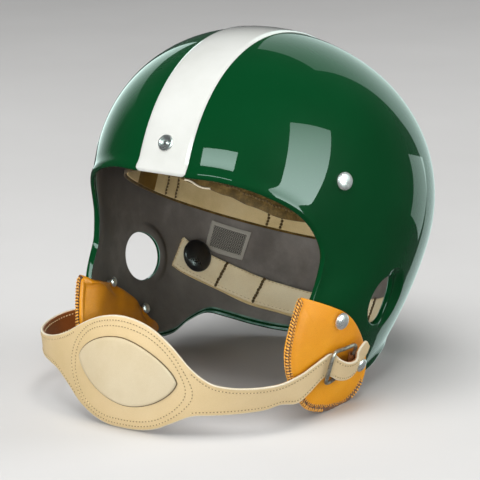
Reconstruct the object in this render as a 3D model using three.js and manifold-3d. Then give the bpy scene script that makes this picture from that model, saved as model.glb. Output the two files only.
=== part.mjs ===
// Football helmet of the suspension kind, resting tilted back on its nape, jaw pads and chin cup.
// Millimetres, +Z up, the face opening towards -Y and the wearer's left towards +X.

import * as THREE from 'three';
import { mergeVertices } from 'three/addons/utils/BufferGeometryUtils.js';
import loadManifold from 'manifold-3d';

const manifoldLibrary = await loadManifold();
manifoldLibrary.setup();
const { Manifold, Mesh: ManifoldMesh } = manifoldLibrary;

// Driving dimensions of the moulded shell

const SHELL_CENTRE = new THREE.Vector3(0, 0, 125);
const SHELL = {
  halfWidth: 109,
  front: 123.5,
  back: 131.2,
  crown: 108.4,
  skirtSide: 200.5,
  skirtForeAft: -55.4,
  skirtBow: 68.4,
  roundness: 2.11,
  skirtRoundness: 1.6,
  tilt: THREE.MathUtils.degToRad(23.7),
  thickness: 4,
};
// The shell is drawn in at the waist of its cheeks, above the jaw flaps
const WAIST = { azimuth: 52, elevation: -15, depth: 5, halfWidth: 15, above: 18, below: 7 };
const LIP_WIDTH = 10;
const GAP = 0.3;
const WALL_GAP = 0.8;

// The edge of the shell on its left side, from the middle of the brow down to the middle of the
// nape, as azimuth and elevation seen from the shell's centre. Flare is how far the lip turns out.
const EDGE = [
  { azimuth: 0, elevation: 16.3, flare: 3.2 },
  { azimuth: 10, elevation: 15.9, flare: 3.2 },
  { azimuth: 20.4, elevation: 15.3, flare: 3.2 },
  { azimuth: 32.3, elevation: 12.2, flare: 3.4 },
  { azimuth: 42.7, elevation: 6.8, flare: 3.0 },
  { azimuth: 49.0, elevation: 0.1, flare: 2.2 },
  { azimuth: 52.2, elevation: -8.0, flare: 2.0 },
  { azimuth: 51.0, elevation: -15.6, flare: 1.6 },
  { azimuth: 47.6, elevation: -21.6, flare: 1.0 },
  { azimuth: 44.6, elevation: -27.5, flare: 0.4 },
  { azimuth: 43.4, elevation: -35.0, flare: 0 },
  { azimuth: 46.8, elevation: -41.0, flare: 0 },
  { azimuth: 54.0, elevation: -46.6, flare: 0 },
  { azimuth: 67.0, elevation: -51.4, flare: 0 },
  { azimuth: 80.0, elevation: -54.6, flare: 1.5 },
  { azimuth: 92.0, elevation: -55.6, flare: 3.0 },
  { azimuth: 104.0, elevation: -54.0, flare: 3.2 },
  { azimuth: 116.3, elevation: -52.7, flare: 3.2 },
  { azimuth: 127.0, elevation: -54.5, flare: 3.2 },
  { azimuth: 137.0, elevation: -56.3, flare: 3.2 },
  { azimuth: 150.0, elevation: -57.9, flare: 3.2 },
  { azimuth: 165.0, elevation: -58.6, flare: 3.2 },
  { azimuth: 180, elevation: -58.8, flare: 3.2 },
];

// The ear opening. Turn is how far the dish's floor turns towards the back, so that the hole's
// front edge lies level with the shell and its rear edge lies deep.
const EAR = { azimuth: 85, elevation: -30.2, holeRadius: 17, floorRadius: 19, sink: 0.5, turn: 14, back: 3.4 };
const FRONT_SCREW = { azimuth: 0, elevation: 25.4, radius: 4.8 };
const SIDE_RIVET = { azimuth: 60.9, elevation: 15.1, radius: 5.8, dome: 2.6 };
const STRIPE_WIDTH = 38;

// The leather jaw pad's outline on the left side, clockwise from its top front corner. Open is 1
// where the two panels are sewn together beyond the shell's edge, and 0 where they lie on the shell.
// Drop is how far the inner panel's outline lies below the outer one's, and settle how much lower
// the right pad sits than the left one.
const JAW_PAD = {
  centre: { azimuth: 62, elevation: -43 },
  leather: 2.2,
  outerFill: 1.2,
  innerFill: 6,
  bottomSwell: 6.4,
};
const JAW_PAD_OUTLINE = [
  { azimuth: 43.6, elevation: -18.0, open: 1, drop: 3.6, settle: 4.4 },
  { azimuth: 45.4, elevation: -18.4, open: 0, drop: 3.8, settle: 4.5 },
  { azimuth: 52.9, elevation: -21.8, open: 0, drop: 3.6, settle: 4.5 },
  { azimuth: 59.1, elevation: -25.1, open: 0, drop: 4.4, settle: 4.2 },
  { azimuth: 64.4, elevation: -29.1, open: 0, drop: 5.6, settle: 3.4 },
  { azimuth: 70.1, elevation: -35.1, open: 0, drop: 6.4, settle: 2.4 },
  { azimuth: 76.6, elevation: -42.2, open: 0, drop: 7.6, settle: 1.4 },
  { azimuth: 79.2, elevation: -46.0, open: 0, drop: 6.4, settle: 0.6 },
  { azimuth: 79.6, elevation: -49.4, open: 0.4, drop: 4.2, settle: 0 },
  { azimuth: 75.4, elevation: -52.7, open: 1, drop: 2, settle: 0 },
  { azimuth: 68.6, elevation: -53.8, open: 1, drop: 0.6, settle: 0 },
  { azimuth: 60.8, elevation: -52.0, open: 1, drop: 0, settle: 0 },
  { azimuth: 53.2, elevation: -48.9, open: 1, drop: 0, settle: 0 },
  { azimuth: 47.4, elevation: -45.6, open: 1, drop: 0, settle: 0 },
  { azimuth: 43.8, elevation: -41.6, open: 1, drop: 0, settle: 0 },
  { azimuth: 41.3, elevation: -37.4, open: 1, drop: 0, settle: 0.4 },
  { azimuth: 39.9, elevation: -33.6, open: 1, drop: 0, settle: 1 },
  { azimuth: 39.6, elevation: -29.8, open: 1, drop: 0.6, settle: 2 },
  { azimuth: 40.3, elevation: -26.2, open: 1, drop: 1.6, settle: 3 },
  { azimuth: 41.7, elevation: -21.8, open: 1, drop: 3, settle: 4 },
];

// Seat is the height of a fastener's rim above the shell's outer face, or its depth below that
// face where it faces inwards. Dome is how far its head stands from there.
const PAD_RIVET = { azimuth: 59.3, elevation: -27.5, settle: 4.4, seen: 5, radius: 5.2, dome: 2.6, seat: 3.2 };
const STRAP_STUD = { azimuth: 70.9, elevation: -42.9, seen: 9, radius: 4.7, dome: 2.4, seat: 9.6 };
const PAD_SNAPS = [
  { level: 'upper', azimuth: 56.9, elevation: -32.0, seen: -9, radius: 3.6, dome: 2.2, seat: 9 },
  { level: 'lower', azimuth: 73.0, elevation: -46.5, seen: -9, radius: 3.6, dome: 2.2, seat: 8.6 },
];
const NAPE_BUTTON = { azimuth: 114.9, elevation: -36.0, seen: -8, radius: 10.5, dome: 4.2, seat: 8.6 };
const SHANK_RADIUS = 1.6;
const SHANK_HOLE_RADIUS = 2.0;

// Directions and points on the shell

function direction(azimuth, elevation) {
  const a = THREE.MathUtils.degToRad(azimuth);
  const e = THREE.MathUtils.degToRad(elevation);
  return new THREE.Vector3(Math.sin(a) * Math.cos(e), -Math.cos(a) * Math.cos(e), Math.sin(e));
}

// The distance from the centre to the shell's plain outer form, found by Newton's method. The form
// is a superellipsoid tilted back, whose skirt below the widest line has its own depth and power.
function shellRadius(d) {
  const c = Math.cos(SHELL.tilt);
  const s = Math.sin(SHELL.tilt);
  const y = c * d.y - s * d.z;
  const z = s * d.y + c * d.z;
  const foreAft = y / (Math.hypot(d.x, y) + 1e-9);
  const skirt = SHELL.skirtSide + SHELL.skirtForeAft * foreAft + SHELL.skirtBow * foreAft * foreAft;
  const depth = z > 0 ? SHELL.crown : skirt;
  const power = z > 0 ? SHELL.roundness : SHELL.skirtRoundness;
  const n = SHELL.roundness;
  const flat = (Math.abs(d.x) / SHELL.halfWidth) ** n + (Math.abs(y) / (y > 0 ? SHELL.back : SHELL.front)) ** n;
  const rise = Math.abs(z) / depth;
  let r = (flat + rise ** n) ** (-1 / n);
  for (let step = 0; step < 12; step += 1) {
    const value = flat * r ** n + (rise * r) ** power - 1;
    const slope = n * flat * r ** (n - 1) + power * rise ** power * r ** (power - 1);
    r -= value / slope;
  }
  return r - waistDepth(d);
}

function waistDepth(d) {
  const azimuth = THREE.MathUtils.radToDeg(Math.atan2(Math.abs(d.x), -d.y));
  const elevation = THREE.MathUtils.radToDeg(Math.atan2(d.z, Math.hypot(d.x, d.y)));
  const beside = (azimuth - WAIST.azimuth) / WAIST.halfWidth;
  const rise = elevation - WAIST.elevation;
  const over = rise / (rise > 0 ? WAIST.above : WAIST.below);
  return WAIST.depth * Math.exp(-beside * beside - over * over);
}

function plainPoint(d) {
  return SHELL_CENTRE.clone().addScaledVector(d, shellRadius(d));
}

function shellNormal(d) {
  const point = plainPoint(d);
  const step = 0.05;
  const beyond = (x, y, z) => {
    const v = new THREE.Vector3(x, y, z).add(point).sub(SHELL_CENTRE);
    const length = v.length();
    return length - shellRadius(v.divideScalar(length));
  };
  return new THREE.Vector3(
    beyond(step, 0, 0) - beyond(-step, 0, 0),
    beyond(0, step, 0) - beyond(0, -step, 0),
    beyond(0, 0, step) - beyond(0, 0, -step),
  ).normalize();
}

// A closed curve through the rows' directions, mirrored to the right side when asked
function catmullRom(values, t) {
  const [p0, p1, p2, p3] = values;
  return 0.5 * (2 * p1 + (p2 - p0) * t + (2 * p0 - 5 * p1 + 4 * p2 - p3) * t * t
    + (3 * p1 - p0 - 3 * p2 + p3) * t * t * t);
}

function closedCurve(rows, extra) {
  const points = rows.map((row) => ({ d: direction(row.azimuth, row.elevation), value: row[extra] }));
  return (u) => {
    const place = (u - Math.floor(u)) * points.length;
    const i = Math.floor(place);
    const near = [i - 1, i, i + 1, i + 2].map((k) => points[(k + points.length) % points.length]);
    const t = place - i;
    const d = new THREE.Vector3(
      catmullRom(near.map((p) => p.d.x), t),
      catmullRom(near.map((p) => p.d.y), t),
      catmullRom(near.map((p) => p.d.z), t),
    ).normalize();
    return { d, value: catmullRom(near.map((p) => p.value), t) };
  };
}

const mirroredEdge = EDGE.slice(1, -1).reverse().map((row) => ({ ...row, azimuth: -row.azimuth }));
const edgeAt = closedCurve([...EDGE, ...mirroredEdge], 'flare');
const EDGE_SAMPLES = Array.from({ length: 264 }, (_, i) => {
  const { d, value } = edgeAt(i / 264);
  return { point: plainPoint(d), flare: value };
});

// How far the turned-out lip lifts the outer face at a point of the plain form
function lipLift(point) {
  let nearest = EDGE_SAMPLES[0];
  let distance = Infinity;
  EDGE_SAMPLES.forEach((sample) => {
    const d = sample.point.distanceTo(point);
    if (d < distance) {
      distance = d;
      nearest = sample;
    }
  });
  return distance < LIP_WIDTH ? nearest.flare * (1 - distance / LIP_WIDTH) ** 2 : 0;
}

function onShell(d, offset) {
  const point = plainPoint(d);
  return point.clone().addScaledVector(shellNormal(d), lipLift(point) + offset);
}

// The direction of the foot of a point that stands off the shell by offset, along its normal, and
// that is seen from the centre along d
function footOf(d, offset) {
  const foot = d.clone();
  for (let step = 0; step < 3; step += 1) {
    const seen = plainPoint(foot).addScaledVector(shellNormal(foot), offset).sub(SHELL_CENTRE).normalize();
    foot.add(d).sub(seen).normalize();
  }
  return foot;
}

function pointOver(azimuth, elevation, offset) {
  const foot = footOf(direction(azimuth, elevation), offset);
  return plainPoint(foot).addScaledVector(shellNormal(foot), offset);
}

// A frame on the shell: its origin on the plain outer face, z along the outward normal. Seen is
// the height over that face at which the place's azimuth and elevation hold.
function shellFrame({ azimuth, elevation, seen = 0 }, side = 1) {
  const d = footOf(direction(side * azimuth, elevation), seen);
  const z = shellNormal(d);
  const x = new THREE.Vector3(0, 0, 1).cross(z).normalize();
  const y = z.clone().cross(x);
  return new THREE.Matrix4().makeBasis(x, y, z).setPosition(plainPoint(d));
}

// Solids from grids of points, and solid joins and cuts

function solidFromTriangles(points, triangles) {
  const geometry = new THREE.BufferGeometry();
  geometry.setAttribute('position', new THREE.Float32BufferAttribute(points.flatMap((p) => [p.x, p.y, p.z]), 3));
  let volume = 0;
  triangles.forEach(([a, b, c]) => {
    volume += points[a].dot(points[b].clone().cross(points[c]));
  });
  const order = volume > 0 ? triangles : triangles.map(([a, b, c]) => [a, c, b]);
  geometry.setIndex(order.flat());
  return geometry;
}

// A closed slab from two grids of points that face each other. Rows may close on themselves.
function slab(upper, lower, closedRows = false) {
  const rows = upper.length;
  const columns = upper[0].length;
  const points = [...upper.flat(), ...lower.flat()];
  const top = (i, j) => (i % rows) * columns + j;
  const bottom = (i, j) => rows * columns + (i % rows) * columns + j;
  const triangles = [];
  const quad = (a, b, c, d) => triangles.push([a, b, c], [a, c, d]);
  const lastRow = closedRows ? rows : rows - 1;
  for (let i = 0; i < lastRow; i += 1) {
    for (let j = 0; j < columns - 1; j += 1) {
      quad(top(i, j), top(i + 1, j), top(i + 1, j + 1), top(i, j + 1));
      quad(bottom(i, j), bottom(i, j + 1), bottom(i + 1, j + 1), bottom(i + 1, j));
    }
    quad(top(i, 0), bottom(i, 0), bottom(i + 1, 0), top(i + 1, 0));
    quad(top(i, columns - 1), top(i + 1, columns - 1), bottom(i + 1, columns - 1), bottom(i, columns - 1));
  }
  if (!closedRows) {
    for (let j = 0; j < columns - 1; j += 1) {
      quad(top(0, j), top(0, j + 1), bottom(0, j + 1), bottom(0, j));
      quad(top(rows - 1, j), bottom(rows - 1, j), bottom(rows - 1, j + 1), top(rows - 1, j + 1));
    }
  }
  return solidFromTriangles(points, triangles);
}

// A sheet of even thickness about a grid of points, raised by its normals
function sheet(grid, thickness, closedRows = false) {
  const rows = grid.length;
  const columns = grid[0].length;
  const at = (i, j) => grid[closedRows ? (i + rows) % rows : Math.min(Math.max(i, 0), rows - 1)][
    Math.min(Math.max(j, 0), columns - 1)];
  const normals = grid.map((row, i) => row.map((_, j) => {
    const along = at(i + 1, j).clone().sub(at(i - 1, j));
    const across = at(i, j + 1).clone().sub(at(i, j - 1));
    return along.cross(across).normalize();
  }));
  const move = (amount) => grid.map((row, i) => row.map((p, j) => p.clone().addScaledVector(normals[i][j], amount)));
  return slab(move(thickness / 2), move(-thickness / 2), closedRows);
}

function toManifold(geometry) {
  const bare = new THREE.BufferGeometry();
  bare.setAttribute('position', geometry.getAttribute('position'));
  bare.setIndex(geometry.getIndex());
  const merged = mergeVertices(bare, 1e-4);
  return new Manifold(new ManifoldMesh({
    numProp: 3,
    vertProperties: new Float32Array(merged.getAttribute('position').array),
    triVerts: new Uint32Array(merged.getIndex().array),
  }));
}

function toGeometry(solid) {
  const mesh = solid.getMesh();
  const geometry = new THREE.BufferGeometry();
  geometry.setAttribute('position', new THREE.BufferAttribute(new Float32Array(mesh.vertProperties), 3));
  geometry.setIndex(new THREE.BufferAttribute(new Uint32Array(mesh.triVerts), 1));
  return geometry;
}

function cut(geometry, tools) {
  return toGeometry(tools.reduce((solid, tool) => solid.subtract(toManifold(tool)), toManifold(geometry)));
}

// A turned solid whose profile rows are radius and height along the frame's outward axis
function turned(profile, frame, segments) {
  const points = profile.map(([radius, height]) => new THREE.Vector2(radius, height));
  const geometry = new THREE.LatheGeometry(points, segments);
  geometry.rotateX(Math.PI / 2);
  geometry.applyMatrix4(frame);
  const bare = new THREE.BufferGeometry();
  bare.setAttribute('position', geometry.getAttribute('position'));
  bare.setIndex(geometry.getIndex());
  return toGeometry(toManifold(bare));
}

function pin(frame, radius, from, to, segments = 16) {
  return turned([[0, from], [radius, from], [radius, to], [0, to]], frame, segments);
}

// The shell

const SHELL_COLUMNS = 52;
const SHELL_LIP_ROWS = [0, 3, 6.5, 11];
const SHELL_SIDE_ROWS = 5;
const SHELL_CROWN_ROWS = 5;
const CROWN_POLE = new THREE.Vector3(0, 0.5, 0.866).normalize();
const CROWN_RING = THREE.MathUtils.degToRad(62);

// The columns start at even steps of length along the edge
const EDGE_LENGTHS = EDGE_SAMPLES.reduce((lengths, sample, i) => {
  const next = EDGE_SAMPLES[(i + 1) % EDGE_SAMPLES.length];
  return [...lengths, lengths[i] + sample.point.distanceTo(next.point)];
}, [0]);

function edgeByLength(part) {
  const target = part * EDGE_LENGTHS[EDGE_LENGTHS.length - 1];
  let i = 0;
  while (i < EDGE_SAMPLES.length - 1 && EDGE_LENGTHS[i + 1] < target) {
    i += 1;
  }
  const t = (target - EDGE_LENGTHS[i]) / (EDGE_LENGTHS[i + 1] - EDGE_LENGTHS[i]);
  return edgeAt((i + t) / EDGE_SAMPLES.length).d;
}

function alongArc(from, to, angle) {
  const axis = from.clone().cross(to).normalize();
  return from.clone().applyAxisAngle(axis, angle);
}

// Columns of directions that run from the edge, moved outwards by grow, to a ring round the
// crown, and from there up to just short of the crown's pole
function shellDirections(grow) {
  const columns = Array.from({ length: SHELL_COLUMNS }, (_, j) => {
    const edge = edgeByLength(j / SHELL_COLUMNS);
    const turn = (2 * Math.PI * j) / SHELL_COLUMNS;
    const onRing = new THREE.Vector3(0, -0.866, 0.5).applyAxisAngle(CROWN_POLE, turn);
    const ring = alongArc(CROWN_POLE, onRing, CROWN_RING);
    const reach = shellRadius(edge);
    const whole = edge.angleTo(ring);
    const lip = SHELL_LIP_ROWS[SHELL_LIP_ROWS.length - 1] / reach;
    const angles = [-grow / reach, ...SHELL_LIP_ROWS.slice(1).map((length) => length / reach)];
    for (let i = 1; i <= SHELL_SIDE_ROWS; i += 1) {
      angles.push(lip + ((whole - lip) * i) / SHELL_SIDE_ROWS);
    }
    const column = angles.map((angle) => alongArc(edge, ring, angle));
    for (let i = 1; i <= SHELL_CROWN_ROWS; i += 1) {
      column.push(alongArc(ring, CROWN_POLE, (CROWN_RING * i) / (SHELL_CROWN_ROWS + 1)));
    }
    return column;
  });
  return columns[0].map((_, i) => columns.map((column) => column[i]));
}

// A closed cap from two facing grids of rings, each drawn together at its own pole
function closedCap(outer, inner, outerPole, innerPole) {
  const rows = outer.length;
  const columns = outer[0].length;
  const points = [...outer.flat(), ...inner.flat(), outerPole, innerPole];
  const out = (i, j) => i * columns + (j % columns);
  const inn = (i, j) => rows * columns + out(i, j);
  const pole = 2 * rows * columns;
  const triangles = [];
  for (let j = 0; j < columns; j += 1) {
    for (let i = 0; i < rows - 1; i += 1) {
      const [a, b] = j < columns / 2 ? [j, j + 1] : [j + 1, j];
      const turn = j < columns / 2 ? (p, q, r) => [p, q, r] : (p, q, r) => [p, r, q];
      triangles.push(turn(out(i, a), out(i, b), out(i + 1, b)), turn(out(i, a), out(i + 1, b), out(i + 1, a)));
      triangles.push(turn(inn(i, a), inn(i + 1, b), inn(i, b)), turn(inn(i, a), inn(i + 1, a), inn(i + 1, b)));
    }
    triangles.push([out(0, j), inn(0, j), inn(0, j + 1)], [out(0, j), inn(0, j + 1), out(0, j + 1)]);
    triangles.push([out(rows - 1, j), out(rows - 1, j + 1), pole]);
    triangles.push([inn(rows - 1, j + 1), inn(rows - 1, j), pole + 1]);
  }
  return solidFromTriangles(points, triangles);
}

function shellSolid(grow) {
  const directions = shellDirections(grow);
  const depth = -SHELL.thickness - grow;
  const outer = directions.map((row) => row.map((d) => onShell(d, grow)));
  const inner = directions.map((row) => row.map((d) => onShell(d, depth)));
  return closedCap(outer, inner, onShell(CROWN_POLE, grow), onShell(CROWN_POLE, depth));
}

// The ear opening: a round dish pressed into the shell, with the hole in its floor
function earFrame(side) {
  const turn = new THREE.Matrix4().makeRotationY(side * THREE.MathUtils.degToRad(EAR.turn));
  return shellFrame(EAR, side).multiply(turn).multiply(new THREE.Matrix4().makeTranslation(0, 0, -EAR.sink));
}

function earDishCutter(frame) {
  const r = EAR.floorRadius;
  return turned([[0, 0], [r, 0], [r + 2.2, 0.8], [r + 4.4, 2.8], [r + 5.8, 5.4], [r + 7.4, 8.6], [r + 8, 16], [0, 16]],
    frame, 20);
}

function earBoss(frame, grow) {
  const r = EAR.floorRadius + grow;
  const h = -EAR.back - grow;
  return turned([[0, h], [r + 1, h], [r + 4.4, h + 1.6], [r + 7.4, h + 5], [r + 9.6, h + 10], [r + 9.6, 12], [0, 12]],
    frame, 20);
}

// The room from just under the shell's outer face to well inside it, which trims the ear's boss
function underShell() {
  const rows = shellDirections(-2);
  const outer = rows.map((row) => row.map((d) => onShell(d, -1)));
  const inner = rows.map((row) => row.map((d) => onShell(d, -30)));
  return closedCap(outer, inner, onShell(CROWN_POLE, -1), onShell(CROWN_POLE, -30));
}

const screwFrame = shellFrame(FRONT_SCREW);
const SIDES = [{ name: 'left', side: 1 }, { name: 'right', side: -1 }];
const SHANK_PLACES = [SIDE_RIVET, PAD_RIVET, STRAP_STUD];

function makeShell() {
  let solid = toManifold(shellSolid(0));
  const trim = toManifold(underShell());
  SIDES.forEach(({ side }) => {
    const ear = earFrame(side);
    solid = solid.add(toManifold(earBoss(ear, 0)).intersect(trim));
    solid = solid.subtract(toManifold(earDishCutter(ear)));
    solid = solid.subtract(toManifold(pin(ear, EAR.holeRadius, -25, 20, 20)));
    SHANK_PLACES.forEach((place) => {
      solid = solid.subtract(toManifold(pin(shellFrame(settled(place, side), side), SHANK_HOLE_RADIUS, -12, 12, 8)));
    });
  });
  solid = solid.subtract(toManifold(pin(screwFrame, SHANK_HOLE_RADIUS, -12, 12, 8)));
  return toGeometry(solid);
}

// The centre stripe, a thin band from the brow's lip over the crown to the nape

const STRIPE = { thickness: 0.5, gap: 0.55, rows: 40, columns: 2, inset: 1.0 };

function makeStripe() {
  const turnedBack = (d) => Math.atan2(d.z, -d.y);
  const brow = turnedBack(direction(0, EDGE[0].elevation)) + STRIPE.inset / 125;
  const nape = turnedBack(direction(180, EDGE[EDGE.length - 1].elevation)) + 2 * Math.PI - STRIPE.inset / 145;
  const grid = (offset) => Array.from({ length: STRIPE.rows + 1 }, (_, i) => {
    const angle = brow + (nape - brow) * (i / STRIPE.rows);
    const d = new THREE.Vector3(0, -Math.cos(angle), Math.sin(angle));
    const half = STRIPE_WIDTH / 2 / shellRadius(d);
    return Array.from({ length: STRIPE.columns + 1 }, (__, j) => {
      const lean = half * (2 * (j / STRIPE.columns) - 1);
      return onShell(d.clone().multiplyScalar(Math.cos(lean)).setX(Math.sin(lean)).normalize(), offset);
    });
  });
  const stripe = slab(grid(STRIPE.gap + STRIPE.thickness), grid(STRIPE.gap));
  return cut(stripe, [pin(screwFrame, FRONT_SCREW.radius + GAP, -3, 12, 20)]);
}

// Screws, rivets and snaps

// A place on the shell, lowered by its settle on the right side
function settled(place, side) {
  return side < 0 ? { ...place, elevation: place.elevation - (place.settle ?? 0) } : place;
}

function makeFrontScrew() {
  const r = FRONT_SCREW.radius;
  return turned([
    [0, -5.5],
    [SHANK_RADIUS, -5.5],
    [SHANK_RADIUS, GAP],
    [r, GAP],
    [r, 1.5],
    [r - 0.9, 2.1],
    [r - 1.8, 1.5],
    [1.6, 0.7],
    [0, 0.7],
  ], screwFrame, 16);
}

// A dome head of the given radius on a shank that runs down to shankEnd
function dome({ radius, dome: rise, seat }, frame, shankEnd, segments = 9) {
  const profile = [[0, shankEnd], [SHANK_RADIUS, shankEnd], [SHANK_RADIUS, seat], [radius, seat]];
  [0, 0.55, 1.05].forEach((a) => {
    profile.push([radius * Math.cos(a), seat + 0.5 + (rise - 0.5) * Math.sin(a)]);
  });
  profile.push([0, seat + rise]);
  return turned(profile, frame, segments);
}

// A frame like shellFrame's with its z axis pointing into the helmet
function inwardFrame(place, side) {
  return shellFrame(place, side).multiply(new THREE.Matrix4().makeRotationX(Math.PI));
}

// Jaw pads: leather pockets drawn over the shell's flaps, flat where they rest

const PAD_SPOKES = 30;
const PAD_RINGS = [0, 0.4, 0.72, 0.9, 1];
const PAD_SEAM = { outer: 3.8, inner: -1.2 };

function padOutline(side, inside) {
  return closedCurve(JAW_PAD_OUTLINE.map((row) => ({
    ...row,
    elevation: row.elevation - (inside ? row.drop : 0) - (side < 0 ? row.settle : 0),
  })), 'open');
}

function padOffsets(ring, open) {
  const fullness = Math.sqrt(Math.max(0, 1 - ring ** 2.4));
  const closing = open * THREE.MathUtils.smoothstep(ring, 0.8, 1);
  const outer = GAP + JAW_PAD.leather + JAW_PAD.outerFill * fullness;
  const inner = -SHELL.thickness - GAP - JAW_PAD.leather - JAW_PAD.innerFill * fullness;
  return {
    outer: THREE.MathUtils.lerp(outer, PAD_SEAM.outer, closing),
    inner: THREE.MathUtils.lerp(inner, PAD_SEAM.inner, closing),
  };
}

// The pad swells outwards towards its bottom seam, where the flap stands nearer upright
function padBottomSwell(d) {
  return JAW_PAD.bottomSwell * THREE.MathUtils.smoothstep(-d.z, 0.669, 0.809);
}

function overPlain(d, offset) {
  const foot = footOf(d, offset);
  return plainPoint(foot).addScaledVector(shellNormal(foot), offset);
}

function padSlab(side) {
  const outerOutlineAt = padOutline(side, false);
  const innerOutlineAt = padOutline(side, true);
  const hub = direction(JAW_PAD.centre.azimuth, JAW_PAD.centre.elevation);
  const outer = [];
  const inner = [];
  for (let i = 0; i < PAD_SPOKES; i += 1) {
    const outerEdge = outerOutlineAt(i / PAD_SPOKES);
    const innerEdge = innerOutlineAt(i / PAD_SPOKES);
    const open = THREE.MathUtils.clamp(outerEdge.value, 0, 1);
    outer.push(PAD_RINGS.map((ring) => {
      const along = hub.clone().lerp(outerEdge.d, ring).normalize();
      return overPlain(along, padOffsets(ring, open).outer + padBottomSwell(along));
    }));
    inner.push(PAD_RINGS.map((ring) => {
      const along = hub.clone().lerp(innerEdge.d, ring).normalize();
      return overPlain(along, padOffsets(ring, open).inner + padBottomSwell(along) * 0.3);
    }));
  }
  return toGeometry(toManifold(slab(outer, inner, true)));
}

function box(minimum, maximum) {
  const geometry = new THREE.BoxGeometry(...maximum.map((value, i) => value - minimum[i]));
  geometry.translate(...maximum.map((value, i) => (value + minimum[i]) / 2));
  return geometry;
}

const floorCutter = box([-400, -400, -60], [400, 400, 0]);

function makeJawPad(side) {
  let pad = toManifold(padSlab(side)).subtract(toManifold(shellSolid(GAP)));
  pad = pad.subtract(toManifold(earBoss(earFrame(1), GAP)));
  [PAD_RIVET, STRAP_STUD].forEach((place) => {
    pad = pad.subtract(toManifold(pin(shellFrame(settled(place, side)), SHANK_HOLE_RADIUS, -SHELL.thickness, 12, 8)));
  });
  const rivetFrame = shellFrame(settled(PAD_RIVET, side));
  pad = pad.subtract(toManifold(pin(rivetFrame, PAD_RIVET.radius + 0.6, PAD_RIVET.seat - GAP, 12, 20)));
  PAD_SNAPS.forEach((snap) => {
    const inward = inwardFrame(snap, 1);
    const r = snap.radius;
    pad = pad.subtract(toManifold(pin(inward, SHANK_HOLE_RADIUS, SHELL.thickness, 20, 8)));
    pad = pad.subtract(toManifold(turned([
      [0, snap.seat - GAP], [r + 0.4, snap.seat - GAP], [r + 2.4, snap.seat + 2], [r + 4, snap.seat + 9],
      [0, snap.seat + 9]], inward, 16)));
  });
  pad = pad.subtract(toManifold(floorCutter));
  const pieces = pad.decompose().sort((a, b) => b.volume() - a.volume());
  const geometry = toGeometry(pieces[0]);
  if (side > 0) {
    return geometry;
  }
  const position = geometry.getAttribute('position');
  for (let i = 0; i < position.count; i += 1) {
    position.setX(i, -position.getX(i));
  }
  const index = Array.from(geometry.getIndex().array);
  for (let i = 0; i < index.length; i += 3) {
    [index[i + 1], index[i + 2]] = [index[i + 2], index[i + 1]];
  }
  geometry.setIndex(index);
  return geometry;
}

// The sweatband hangs in a plane tilted back like the head. Its bottom edge is level round the
// sides and the back and hangs lower at the wearer's left of the brow.
const RING = {
  tilt: THREE.MathUtils.degToRad(24),
  halfWidth: 86,
  halfLength: 106,
  middle: 2,
  top: 24,
  thickness: 1.5,
  backing: 1.2,
  steps: 40,
};
const RING_LOW_EDGE = [
  { angle: -180, low: -12 },
  { angle: -20, low: -12 },
  { angle: 0, low: -13.5 },
  { angle: 12, low: -16.5 },
  { angle: 24, low: -19 },
  { angle: 34, low: -22 },
  { angle: 46, low: -24.5 },
  { angle: 62, low: -22 },
  { angle: 80, low: -15 },
  { angle: 100, low: -12 },
  { angle: 180, low: -12 },
];

function alongTable(rows, key, at, value) {
  let i = 0;
  while (i < rows.length - 2 && at > rows[i + 1][key]) {
    i += 1;
  }
  const t = THREE.MathUtils.clamp((at - rows[i][key]) / (rows[i + 1][key] - rows[i][key]), 0, 1);
  return THREE.MathUtils.lerp(rows[i][value], rows[i + 1][value], t * t * (3 - 2 * t));
}

function tilted(x, y, z) {
  const c = Math.cos(RING.tilt);
  const s = Math.sin(RING.tilt);
  return new THREE.Vector3(x, c * y + s * z, -s * y + c * z + SHELL_CENTRE.z);
}

// A point of the sweatband's oval, by degrees from the brow towards the wearer's left, by height
// in the tilted frame, and moved out by offset
function ringPoint(angle, height, offset) {
  const a = THREE.MathUtils.degToRad(angle);
  const x = RING.halfWidth * Math.sin(a);
  const y = -RING.halfLength * Math.cos(a);
  const out = new THREE.Vector2(x / RING.halfWidth ** 2, y / RING.halfLength ** 2).normalize();
  return tilted(x + out.x * offset, RING.middle + y + out.y * offset, height);
}

function ringSolid(thickness, offset, lower, upper, across) {
  const face = (shift) => Array.from({ length: RING.steps }, (_, i) => {
    const angle = -180 + (360 * i) / RING.steps;
    const low = alongTable(RING_LOW_EDGE, 'angle', angle, 'low') + lower;
    return Array.from({ length: across + 1 }, (__, j) => ringPoint(
      angle,
      THREE.MathUtils.lerp(low, RING.top + upper, j / across),
      offset + shift,
    ));
  });
  return slab(face(thickness / 2), face(-thickness / 2), true);
}

const BACKING_OFFSET = RING.thickness / 2 + GAP + RING.backing / 2;

// Cotton tabs that hang the sweatband: flat on the shell's wall, over the gap, and down the band
const TAB = { thickness: 1.2, width: 18 };
const TAB_PATH = [
  { height: -6, wall: 1 },
  { height: 3, wall: 1 },
  { height: 12, wall: 1 },
  { height: 19, wall: 0.92 },
  { height: 24.5, wall: 0.7 },
  { height: 27, wall: 0.4 },
  { height: 25, wall: 0.12 },
  { height: 20, wall: 0 },
  { height: 12, wall: 0 },
  { height: 4, wall: 0 },
];
const TABS = [
  { name: 'front', place: FRONT_SCREW, side: 1 },
  { name: 'left', place: SIDE_RIVET, side: 1 },
  { name: 'right', place: SIDE_RIVET, side: -1 },
  { name: 'rear_left', place: { azimuth: 143, elevation: -17 }, side: 1, bare: true },
  { name: 'rear_right', place: { azimuth: 143, elevation: -17 }, side: -1, bare: true },
];

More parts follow.
